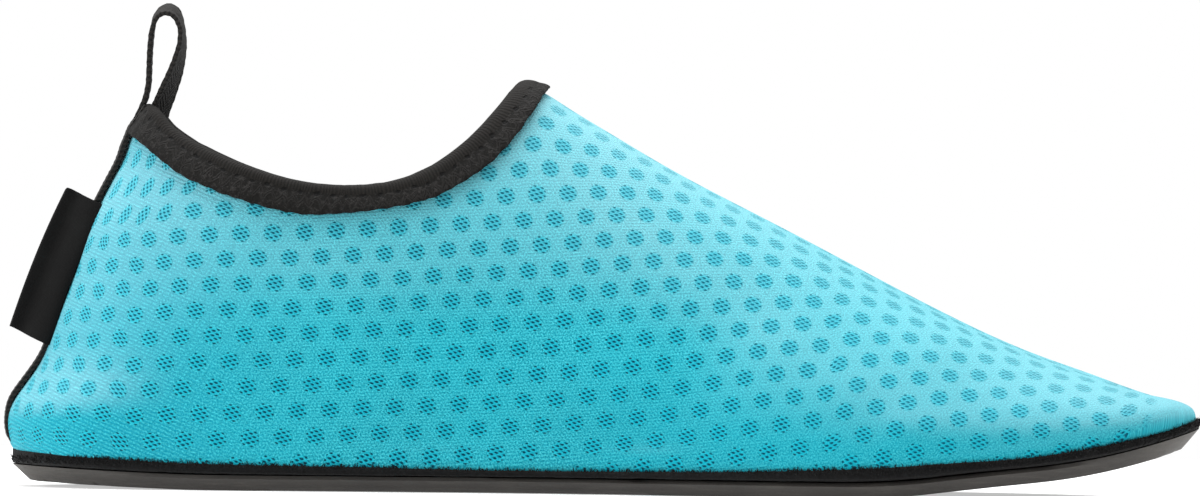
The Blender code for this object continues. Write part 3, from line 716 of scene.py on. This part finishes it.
# %% The knit material
def knit_finish():
    m = Maker("turquoise_knit")
    along, rows, _ = m.kept("knit")
    x, _, z = m.parts(m.place())
    facing_up = m.parts(m.node("NewGeometry", {}, {}, "Normal"), 1)[2]
    wander = m.noise(1100, 1) - 0.5
    behind_tip = (x - z * 0.5).ramp(113, 109)
    from_middle, disc, holes, threads = open_patches(along, rows, wander, behind_tip)
    pits = closed_face(along, rows, x, z, wander) * (1 - disc)
    grain = m.noise(1.0, 3, 0.65, m.vector(along * GRAINS_PER_MM, rows * GRAINS_PER_MM))
    cloud = m.noise(28, 3, 0.5)
    # nap holds a painted sheen: the colour is made paler where the cloth faces up.
    nap = painted_sheen_on_top(facing_up, x, z)
    shade = from_middle.ramp(1.1, 0.25) * behind_tip
    # Where the cloth faces up, painted sheen fades the patch tint and the holes.
    clear_of_painted_sheen = 1 - facing_up.ramp(0.55, 0.92) * 0.6
    layers = (
        ("cloud", cloud.ramp(0.35, 0.7) * 0.2),
        ("pits", pits * 0.85),
        ("threads in shade", (0.35 + (1 - threads) * 0.65) * shade * 0.6),
        # Painted shade: the lower front wall is made darker.
        ("painted shade low in front", x.ramp(-35, 20) * z.ramp(38, 10) * 0.27),
        # Painted sheen, paler where the cloth faces up.
        ("nap", nap),
        ("patch", from_middle.ramp(1.2, 0.7) * behind_tip * clear_of_painted_sheen * 0.55),
    )
    paints = KNIT_COLOURS
    colour = m.blend(grain.ramp(0.34, 0.66), paints["between stitches"], paints["stitches"])
    for name, share in layers:
        colour = m.blend(share, colour, paints[name])
    inside = m.blend(along.ramp(70, 170), paints["holes at the back"], paints["holes in front"])
    # Painted highlight: holes are made paler where the cloth faces up.
    inside = m.blend(facing_up.ramp(0.1, 0.6), inside, paints["holes painted paler on top"])
    colour = m.blend(holes * (1 - nap * 0.4) * clear_of_painted_sheen, colour, inside)
    height = grain * 0.45 - pits * 0.8 - holes * 1.5 + threads * disc * 0.3
    looks = {"Sheen_Weight": 0.3, "Sheen_Roughness": 0.35, "Sheen_Tint": (0.35, 0.92, 1.0),
                 "Specular_IOR_Level": 0.15, "Specular_Tint": (0.15, 0.85, 1.0)}
    return m.finish(colour, 0.6 + grain * 0.2, height, 0.2 * MM, **looks)


settle(upper, knit_finish(), "turquoise_knit", "upper")

# %% [markdown]
# ## Elastic binding round the opening
# A strip of elastic is folded over the cut edge of the knit and sewn down with a zigzag stitch.
# The fold itself is smooth, with hair-fine ribs across it; under it runs a line of needle holes,
# and below that the thread makes the cloth fuzzy and puckered. To draw these, each corner of the
# mesh gets two numbers: how far round the opening it is, and how far below the fold.

# %% Measuring round the opening
STITCH_PITCH = 3.6
BINS = 120
BIN_REACH = 3
binding = copy_of("collar_binding", "collar_binding_elastic", 2)
strip = points_of(binding)
mouth = (strip.min(axis=0) + strip.max(axis=0)) / 2
turn = np.degrees(np.arctan2(strip[:, 1] - mouth[1], strip[:, 0] - mouth[0])) % 360
directions = np.arange(BINS) * 360 / BINS


def strip_towards(direction):
    """The strip's points within a few degrees of one direction."""
    return strip[np.abs((turn - direction + 180) % 360 - 180) < BIN_REACH]


def round_the_mouth(kept):
    """Spreads what is kept for each direction over all the points of the strip."""
    columns = np.append(kept, kept[:1], axis=0).T
    place, places = turn * BINS / 360, np.arange(BINS + 1)
    return np.stack([np.interp(place, places, column) for column in columns], axis=1)


highest = np.array([max(strip_towards(way), key=lambda p: p[2]) for way in directions])
round_way = way_along(np.linalg.norm(np.roll(highest, -1, axis=0) - highest, axis=1) / MM)
stretch = round(round_way[-1] / STITCH_PITCH) * STITCH_PITCH / round_way[-1]
around = np.interp(turn * BINS / 360, np.arange(BINS + 1), round_way * stretch)
fold = round_the_mouth(highest)
below = np.linalg.norm(strip - fold, axis=1) / MM
print("round the opening:", round(float(round_way[-1]), 1), "mm")
print("widest below the fold:", round(float(below.max()), 1), "mm")

# %% [markdown]
# ## A strip that narrows to the front
# On this shoe the strip is wider behind than in front, while the solid has one width. So each
# point is drawn up towards the fold, and keeps only a share of its distance below it. The table
# gives that share at places along the shoe (x, in millimetres), from back to front.

# %% Narrowing it
WIDTH_SHARES = (
    (-104, 0.92), (-98, 0.86), (-88, 0.78), (-64, 0.78),
    (-56, 0.68), (-48, 0.60), (-24, 0.60), (-9, 0.64),
)
hem = np.array([
    max(strip_towards(way), key=lambda p: np.linalg.norm(p - top))
    for way, top in zip(directions, highest)
])
downward = hem - highest
downward /= np.linalg.norm(downward, axis=1)[:, None]
down = round_the_mouth(downward)
share = np.interp(strip[:, 0] / MM, *zip(*WIDTH_SHARES))
run = np.clip(((strip - fold) * down).sum(axis=1), 0, None)
strip = strip + down * (run * (share - 1))[:, None]
below = below * share
print("strip below the fold now:", round(float(below.max()), 1), "mm at its widest")

# %% Puckers and the stitched line
PUCKER_DEPTH, PUCKER_FADE = 0.11, (2.8, 4.2)
SEAM_BELOW, SEAM_DEPTH, SEAM_WIDTH = 3.0, 0.16, 0.7
keep_on(binding, "strip", np.stack([around, below, below * 0], axis=1))
wave = np.sin(around * 2 * math.pi / STITCH_PITCH)
puckered = rise(below, *PUCKER_FADE) * wave * PUCKER_DEPTH
sewn = -SEAM_DEPTH * np.exp(-((below - SEAM_BELOW) / SEAM_WIDTH) ** 2)
move_to(binding, stand_up(strip + normals_of(binding) * ((puckered + sewn) * MM)[:, None]))

# %% The elastic's finish
ELASTIC_RIB_PITCH = 0.72
NEEDLE_ALONG, NEEDLE_ACROSS = 0.62, 0.42
ZIGZAG_TOP, ZIGZAG_STEEP = 3.5, 1.5


def elastic_finish():
    m = Maker("black_elastic")
    around, below, _ = m.kept("strip")
    fuzz = m.noise(2600, 3, 0.7)
    astray = m.noise(420, 2) - 0.5
    ribs = (around + astray * 0.5).waves(ELASTIC_RIB_PITCH)
    folded = below.ramp(SEAM_BELOW, 2.5)
    hole_x = around.within(STITCH_PITCH / 2)
    hole_y = below - SEAM_BELOW + astray * 1.2
    hole = oval(hole_x, hole_y, NEEDLE_ALONG, NEEDLE_ACROSS).ramp(1.2, 0.5)
    zigzag = around.sum("PINGPONG", STITCH_PITCH / 3) * ZIGZAG_STEEP + ZIGZAG_TOP
    thread = (below - zigzag + astray * 2.4).size().ramp(0.5, 0.1)
    second = (below - zigzag - 0.9 + astray * 3.0).size().ramp(0.45, 0.1)
    thread = thread.most(second) * (1 - folded)
    lint = m.noise(1000, 3, 0.8).ramp(0.48, 0.7) * (1 - folded)
    ground = m.blend(fuzz.ramp(0.35, 0.7), paint(6, 6, 5), paint(20, 18, 16))
    ground = m.blend(ribs * folded * 0.45, ground, paint(36, 33, 30))
    ground = m.blend((thread * 0.16).most(lint * 0.5), ground, paint(60, 58, 57))
    colour = m.blend(hole, ground, paint(5, 5, 5))
    height = ribs * folded * 0.35 + thread * 0.6 + lint * 0.7 + fuzz * 0.6 - hole * 1.6
    looks = {"Sheen_Weight": 0.03, "Sheen_Roughness": 0.5, "Specular_IOR_Level": 0.15}
    return m.finish(colour, 0.72 + fuzz * 0.2, height, 0.2 * MM, **looks)


settle(binding, elastic_finish(), "black_elastic", "collar_binding")

# %% [markdown]
# ## Keeping corners crisp while smoothing
# The remaining solids are made of few, flat faces. A plain subdivision surface would shrink a thin
# strip to a cord, so their sharp edges are first creased: the surface then rounds them by a
# fraction of a millimetre and keeps the piece's width.


# %% A smoothed copy with creased edges
SHARP_FROM, SMOOTH_UP_TO = math.radians(35), math.radians(50)


def crisp_copy(node, name, levels, crease):
    piece = copy_of(node, name, 0)
    take_up(piece)
    bpy.ops.object.mode_set(mode="EDIT")
    bpy.ops.mesh.select_mode(type="EDGE")
    bpy.ops.mesh.select_all(action="DESELECT")
    bpy.ops.mesh.edges_select_sharp(sharpness=SHARP_FROM)
    bpy.ops.transform.edge_crease(value=crease)
    bpy.ops.object.mode_set(mode="OBJECT")
    subdivide(piece, levels)
    bpy.ops.object.shade_smooth_by_angle(angle=SMOOTH_UP_TO)
    print(f"{name}: {len(piece.data.polygons)} faces after smoothing")
    return piece


# %% [markdown]
# ## Webbing at the heel
# Narrow herringbone webbing runs up the heel seam and on into a loop for a finger. A herringbone
# is a twill whose slant flips from stripe to stripe, so a ribbon coordinate that is folded back
# on itself draws it. The picks across the webbing also ripple its edges, which shows against the
# white behind.

# %% Webbing
PICK_PITCH, STRIPE, TWILL_LEAN = 1.2, 2.5, 1.1
RIPPLE = 0.11


def webbing_finish():
    m = Maker("black_webbing")
    along, across, _ = m.kept("ribbon")
    fuzz = m.noise(2200, 2, 0.7)
    slant = across.within(STRIPE).size()
    twill = (along + slant * TWILL_LEAN).waves(PICK_PITCH)
    seam = slant.ramp(0.3, 0.0).most(slant.ramp(STRIPE - 0.3, STRIPE))
    edge = across.size().ramp(4.3, 4.9)
    ground = m.blend(twill, paint(8, 8, 8), paint(34, 31, 28))
    ground = m.blend(seam * 0.5, ground, paint(10, 10, 10))
    colour = m.blend(fuzz.ramp(0.55, 0.85) * 0.35, ground, paint(58, 54, 50))
    height = twill * 0.9 - seam * 0.35 + edge * 0.4 + fuzz * 0.35
    looks = {"Sheen_Weight": 0.04, "Sheen_Roughness": 0.4, "Specular_IOR_Level": 0.25}
    return m.finish(colour, 0.68 + fuzz * 0.2, height, 0.2 * MM, **looks)


def ripple(piece, along, across):
    """Presses the picks into the edges and faces of a ribbon."""
    deep = RIPPLE * (0.5 + 0.5 * np.sin(along * 2 * math.pi / PICK_PITCH + np.abs(across)))
    move_to(piece, points_of(piece) - normals_of(piece) * (deep * MM)[:, None])
    keep_on(piece, "ribbon", np.stack([along, across, across * 0], axis=1))


# %% [markdown]
# ## Heel tape
# The tape is sewn flat over the heel's seam, from the felt up to the binding. Its foot is tucked
# in behind the felt, and its top comes forward under the loop. Each row of the two tables moves
# it forward by so many millimetres, fading between two heights.

# %% The heel tape
TAPE_LEAN, TAPE_FORWARD = 1.075, 0.55
FOOT_DROP, FOOT_FORWARD, FOOT_TOP = 1.9, 0.6, 14
TAPE_SHIFTS = ((1.3, 7.5, 12), (0.35, 40, 60))
TAPE_TOP_SHIFTS = ((1.0, 75, 80), (1.0, 79, 84))
tape = crisp_copy("heel_tape", "heel_tape_webbing", 3, 0.85)
tape_at = points_of(tape)
tape_z = tape_at[:, 2] / MM
foot = 1 - rise(tape_z, tape_z.min(), FOOT_TOP)
tape_at[:, 0] += (TAPE_FORWARD + FOOT_FORWARD * foot) * MM
tape_at[:, 2] -= FOOT_DROP * MM * foot
for forward, low, high in TAPE_SHIFTS:
    tape_at[:, 0] += forward * MM * (1 - rise(tape_at[:, 2] / MM, low, high))
tape_at = stand_up(tape_at)
for forward, low, high in TAPE_TOP_SHIFTS:
    tape_at[:, 0] += forward * MM * rise(tape_at[:, 2] / MM, low, high)
move_to(tape, tape_at)
ripple(tape, tape_at[:, 2] / MM * TAPE_LEAN, (tape_at[:, 1] - AXIS_Y) / MM)
webbing = webbing_finish()
settle(tape, webbing, "black_webbing", "heel_tape")

# %% [markdown]
# ## Pull loop
# The same webbing goes on above the opening. Behind, it stands edge-on to the viewer; over the top
# and down the front it twists, so its face comes round and its edges part. So the loop is drawn by
# its two edges: each row gives a place of the near edge, one of the far edge, and half the width
# left between them across the shoe. A flat grid is laid along those rows and given a thickness.

# %% The loop's course
LOOP_COLUMNS = ("near_x", "near_z", "far_x", "far_z", "half_width")
LOOP_STOPS = (
    (-103.3, 81.1, -103.3, 81.1, 4.6), (-102.1, 83.5, -102.1, 83.5, 4.6),
    (-101.0, 86.2, -101.0, 86.2, 4.6), (-100.4, 89.3, -100.4, 89.3, 4.6),
    (-100.3, 93.1, -100.3, 93.1, 4.6), (-100.2, 96.9, -100.2, 96.9, 4.6),
    (-99.9, 100.6, -99.9, 100.6, 4.6), (-99.0, 103.4, -99.5, 104.2, 4.6),
    (-98.1, 104.5, -98.6, 105.9, 4.5), (-96.8, 104.9, -96.8, 107.2, 4.5),
    (-95.5, 104.6, -95.0, 106.8, 4.5), (-94.5, 103.8, -93.8, 105.5, 4.5),
    (-93.4, 101.5, -93.0, 101.8, 4.6), (-93.6, 98.2, -92.6, 98.3, 4.6),
    (-94.9, 94.4, -92.8, 94.8, 4.5), (-96.4, 91.0, -93.3, 91.5, 4.3),
    (-97.7, 88.4, -94.0, 89.1, 4.2), (-98.8, 85.9, -95.1, 85.5, 4.0),
    (-99.7, 84.2, -95.9, 83.4, 3.5), (-100.1, 82.2, -96.3, 81.4, 3.0),
)
LOOP_THICKNESS, LOOP_ROUNDING = 1.15, 0.3
FACES_ACROSS, FACES_ALONG = 8, 72
stops = np.array(LOOP_STOPS)
midline = (stops[:, :2] + stops[:, 2:4]) / 2
loop_way = way_along(np.linalg.norm(np.diff(midline, axis=0), axis=1))

# %% Laying the webbing along it
start_fresh()
bpy.ops.mesh.primitive_grid_add(x_subdivisions=FACES_ACROSS, y_subdivisions=FACES_ALONG, size=1)
loop = bpy.context.active_object
loop.name = "pull_loop_webbing"
flat = points_of(loop) + 0.5
far_share, along = flat[:, 0], flat[:, 1] * loop_way[-1]
row = {name: np.interp(along, loop_way, stops[:, k]) for k, name in enumerate(LOOP_COLUMNS)}
laid_x = row["near_x"] + (row["far_x"] - row["near_x"]) * far_share
laid_z = row["near_z"] + (row["far_z"] - row["near_z"]) * far_share
across = (far_share * 2 - 1) * row["half_width"]
move_to(loop, np.stack([laid_x, across + AXIS_Y / MM, laid_z], axis=1) * MM)
keep_on(loop, "laid", np.stack([along, across, across * 0], axis=1))
take_up(loop)
bpy.ops.object.mode_set(mode="EDIT")
bpy.ops.mesh.select_all(action="SELECT")
bpy.ops.mesh.vertices_smooth(factor=0.5, repeat=2)
bpy.ops.mesh.normals_make_consistent(inside=False)
bpy.ops.object.mode_set(mode="OBJECT")

# %% Its thickness and finish
wall = loop.modifiers.new("wall", "SOLIDIFY")
wall.thickness, wall.offset = LOOP_THICKNESS * MM, 0
rounding = loop.modifiers.new("rounding", "BEVEL")
rounding.width, rounding.segments, rounding.limit_method = LOOP_ROUNDING * MM, 2, "ANGLE"
for modifier in ("wall", "rounding"):
    bpy.ops.object.modifier_apply(modifier=modifier)
bpy.ops.object.shade_smooth_by_angle(angle=SMOOTH_UP_TO)
laid = np.empty(len(loop.data.vertices) * 3)
loop.data.attributes["laid"].data.foreach_get("vector", laid)
laid = laid.reshape(-1, 3)
ripple(loop, laid[:, 0], laid[:, 1])
settle(loop, webbing, "black_webbing", "pull_loop")
print("webbing round the loop:", round(float(loop_way[-1]), 1), "mm")

# %% [markdown]
# ## Heel tab
# A short bar of plain black cloth, folded over and caught under the webbing. It is bare. Thin
# cloth is never quite flat, so its faces are given a slow waver of a tenth of a millimetre or
# two. Its sewn edge comes forward over the edge of the tape. How far over is measured from one
# corner, squarely across the tab.

# %% The folded tab
TAB_FORWARD, TAB_WAVER, WAVERS_PER_METRE = 0.6, 0.22, 130
TAB_CORNER_X, TAB_CORNER_Z = -118.3, 66.5
TAB_ACROSS_X, TAB_ACROSS_Z = 0.931, -0.366
SEWN_FORWARD, SEWN_FADE = 2.6, (4.0, 7.6)
SEWN_ASIDE, ASIDE_FADE = 5.6, (2.5, 6.6)
tab = crisp_copy("heel_tab", "heel_tab_cloth", 3, 0.6)
tab_at = points_of(tab)
waver = np.array([noise.noise(Vector(p) * WAVERS_PER_METRE) for p in tab_at])
tab_at[:, 1] += waver * TAB_WAVER * MM
tab_at[:, 0] += TAB_FORWARD * MM
over = (tab_at[:, 0] / MM - TAB_CORNER_X) * TAB_ACROSS_X
over += (tab_at[:, 2] / MM - TAB_CORNER_Z) * TAB_ACROSS_Z
sewn_over = rise(over, *SEWN_FADE) * SEWN_FORWARD * MM
tab_at += np.outer(sewn_over, (TAB_ACROSS_X, 0, TAB_ACROSS_Z))
tab_at[:, 1] -= SEWN_ASIDE * MM * rise(over, *ASIDE_FADE)
move_to(tab, tab_at)

# %% The tab's finish
TAB_THREAD_PITCH = 0.42


def tab_finish():
    m = Maker("black_tab_cloth")
    x, _, z = m.parts(m.place())
    fuzz = m.noise(3000, 2, 0.6)
    weave = plain_weave(x * 0.91 + z * -0.42, x * 0.42 + z * 0.91, TAB_THREAD_PITCH)
    cloud = m.noise(160, 2)
    texture = weave * 0.6 + fuzz * 0.4
    ground = m.blend(texture, paint(3, 3, 3), paint(12, 12, 12))
    colour = m.blend(cloud.ramp(0.45, 0.75) * 0.35, ground, paint(17, 18, 17))
    return m.finish(colour, 0.7 + fuzz * 0.2, texture, 0.1 * MM, Specular_IOR_Level=0.12)


settle(tab, tab_finish(), "black_tab_cloth", "heel_tab")

# %% [markdown]
# ## Rubber outsole
# The sole is a thin slab of matt rubber with a slanting side and shallow grooves. Its edges are
# moulded, not cut, so they are rounded a little. Rubber is a dark warm grey, scuffed lighter in
# streaks and dusty in the pores. Towards the heel and toe ends it is painted lighter, a painted
# highlight where their rounded ends catch the light.

# %% The outsole
FORE_LIFT, FORE_X, FORE_REACH = 1.05, 84, 17


def fore_lift(points):
    """The photograph's sole leaves the floor a little sooner, just behind the toes."""
    return FORE_LIFT * MM * np.exp(-((points[:, 0] / MM - FORE_X) / FORE_REACH) ** 2)


def spring_up(piece):
    points = points_of(piece)
    points[:, 2] += fore_lift(points)
    move_to(piece, points)


outsole = crisp_copy("outsole", "outsole_rubber", 2, 0.8)
spring_up(outsole)


# %% The rubber's finish
def rubber_finish():
    m = Maker("sole_rubber")
    x, y, z = m.parts(m.place())
    pores = m.noise(1500, 3, 0.6)
    cloud = m.noise(60, 3, 0.55)
    drag = m.noise(1.0, 3, 0.6, m.vector(x * 0.12, y * 0.12, z * 1.6))
    # ends marks the heel and toe ends, painted lighter below as a painted highlight.
    ends = x.size().ramp(112, 131)
    ground = m.blend(cloud, paint(44, 42, 40), paint(64, 61, 58))
    ground = m.blend(drag.ramp(0.45, 0.8) * 0.5, ground, paint(78, 75, 70))
    # Painted highlight: the rounded heel and toe ends are made lighter, where they catch the
    # light.
    ground = m.blend(ends * 0.3, ground, paint(96, 92, 86))
    colour = m.blend(pores.ramp(0.62, 0.8) * 0.4, ground, paint(30, 30, 30))
    height = pores * 0.7 + drag * 0.5
    return m.finish(colour, 0.5 + pores * 0.25, height, 0.12 * MM, Specular_IOR_Level=0.4)


settle(outsole, rubber_finish(), "sole_rubber", "outsole")

# %% [markdown]
# ## Felt bottom
# Between knit and rubber shows the edge of a brushed black felt. What makes it read as felt is its
# ragged upper edge, where loose fibres lie over the knit. They are real here: several thousand
# hair-thin slivers, each of three triangles, rooted all round the felt's upper edge and leaning
# up and out. Random numbers with a fixed seed make them the same each time.

# %% The felt
LUMPS_PER_METRE, LUMP_DEPTH, FELT_SWELL = 900, 0.12, 0.18
FELT_RISE = (
    (-130, 0.5), (-120, 1.0), (-50, 0.9), (-30, 0.5), (0, 0.4), (30, 0.6), (53, 0.9), (62, 1.1),
    (71, 1.5), (80, 1.5), (89, 1.1), (98, 0.7), (106, 0.5), (115, 0.1), (124, -0.3), (132, 0.2),
)
FACES_UP = 0.3


def felt_rise(x):
    """How much higher the photograph's felt reaches up the knit, in metres."""
    return np.interp(x / MM, *zip(*FELT_RISE)) * MM


felt = crisp_copy("sock_bottom", "sock_bottom_felt", 2, 0.5)
felt_at = points_of(felt)
felt_normals = normals_of(felt)
lumps = np.array([noise.noise(Vector(p) * LUMPS_PER_METRE) for p in felt_at])
felt_at += felt_normals * ((lumps * LUMP_DEPTH + FELT_SWELL) * MM)[:, None]
on_top = felt_normals[:, 2] > FACES_UP
felt_at[:, 2] += np.where(on_top, felt_rise(felt_at[:, 0]), fore_lift(felt_at))
move_to(felt, felt_at)

# %% Where a loose fibre is rooted
FIBRES = 9000
AT_THE_ENDS = 0.12
ROOT_RISE, ROOT_SPREAD = 0.6, 1.6
EDGE_OUT, RAY_LENGTH = 0.03, 0.12
felt_skin, knit_skin = skin_of(felt), skin_of(upper)
felt_back, felt_front = felt_at[:, 0].min(), felt_at[:, 0].max()
chance = random.Random(7)


def pick_root():
    """A random place near the felt's upper edge, if a ray finds one, and the way out there."""
    x = chance.uniform(felt_back, felt_front)
    side = chance.choice((-1, 1))
    if chance.random() < AT_THE_ENDS:
        way = chance.uniform(0, math.pi)
        inside = Vector((HEEL_AXIS_X if chance.random() < 0.5 else TOE_AXIS_X, AXIS_Y, 0))
        out = Vector((-math.sin(way) if inside.x < 0 else math.sin(way), math.cos(way), 0))
    else:
        inside, out = Vector((x, float(middle(x)), 0)), Vector((0, side, 0))
    edge_x = inside.x + out.x * EDGE_OUT
    edge_z = float(lower_edge(edge_x)) + float(felt_rise(edge_x)) * ROOT_RISE
    start = inside + out * RAY_LENGTH
    start.z = edge_z - chance.uniform(0.0, ROOT_SPREAD) * MM
    root, normal = felt_skin.ray_cast(start, -out, RAY_LENGTH)[:2]
    return root if root is not None and normal.dot(out) >= 0 else None, out


# %% How it lies
FIBRE_LENGTH = (0.4, 1.3)
FIBRE_THICKNESS = 0.15
CLEAR_OF_KNIT = 0.05


def grow(root, out):
    """The five corners of one fibre: two at its root, two at its knee and its tip."""
    length = chance.uniform(*FIBRE_LENGTH) * MM
    lean = Vector((chance.gauss(0, 0.55), chance.gauss(0, 0.25), chance.uniform(0.2, 1.1)))
    way = (out * 0.35 + lean).normalized()
    bow = Vector((chance.gauss(0, 0.3), chance.gauss(0, 0.2), 0.1)) * length * 0.5
    across = way.cross(out).normalized() * FIBRE_THICKNESS * MM / 2
    knee, tip = root + way * length * 0.55 + bow * 0.5, root + way * length
    for spot in (knee, tip):
        near, face_out, _, _ = knit_skin.find_nearest(spot)
        height = (spot - near).dot(face_out)
        if height < CLEAR_OF_KNIT * MM:
            spot += face_out * ((CLEAR_OF_KNIT + 0.01) * MM - height)
    return [root - across, root + across, knee + across, knee - across, tip]


# %% Growing the fibres
fibre_points, fibre_faces = [], []
while len(fibre_faces) < 2 * FIBRES:
    root, out = pick_root()
    if root is None:
        continue
    a = len(fibre_points)
    fibre_points += grow(root, out)
    fibre_faces += [(a, a + 1, a + 2, a + 3), (a + 3, a + 2, a + 4)]
fuzz_mesh = bpy.data.meshes.new("sock_bottom_fibres")
fuzz_mesh.from_pydata([tuple(p) for p in fibre_points], [], fibre_faces)
fuzz = put_in_scene("sock_bottom_fibres", fuzz_mesh)
print("loose fibres:", len(fibre_faces) // 2)


# %% The felt's finish
def felt_finish():
    m = Maker("black_felt")
    nap = m.noise(1900, 4, 0.7)
    clump = m.noise(240, 2)
    colour = m.blend(nap.ramp(0.35, 0.75), paint(4, 4, 4), paint(22, 22, 23))
    height = nap + clump * 0.6
    looks = {"Sheen_Weight": 0.06, "Sheen_Roughness": 0.6, "Specular_IOR_Level": 0.1}
    return m.finish(colour, 0.85 + nap * 0.1, height, 0.3 * MM, **looks)


black_felt = felt_finish()
settle(felt, black_felt, "black_felt", "sock_bottom")
settle(fuzz, black_felt, "black_felt")

# %% [markdown]
# ## Insole
# Only a look down into the shoe shows the insole: thin foam with a dark brushed cloth on top. It
# has slightly rounded edges and the faint round dimples of pressed foam.

# %% The insole
DIMPLE_PITCH, FOAM_THREAD_PITCH = 3.0, 0.8
insole = crisp_copy("insole", "insole_footbed", 2, 0.5)
spring_up(insole)


def insole_finish():
    m = Maker("insole_foam")
    x, y, _ = m.parts(m.place())
    nap = m.noise(1500, 3, 0.65)
    dimple = oval(*nearest(x, y, DIMPLE_PITCH, DIMPLE_PITCH), 1, 1).ramp(1.0, 0.4)
    weave = plain_weave(x, y, FOAM_THREAD_PITCH)
    ground = m.blend(nap * 0.6 + weave * 0.4, paint(36, 37, 39), paint(66, 67, 70))
    colour = m.blend(dimple * 0.6, ground, paint(20, 20, 22))
    height = weave * 0.4 + nap * 0.5 - dimple * 1.5
    looks = {"Sheen_Weight": 0.15, "Specular_IOR_Level": 0.25}
    return m.finish(colour, 0.85 + nap * 0.1, height, 0.2 * MM, **looks)


settle(insole, insole_finish(), "insole_foam", "insole")
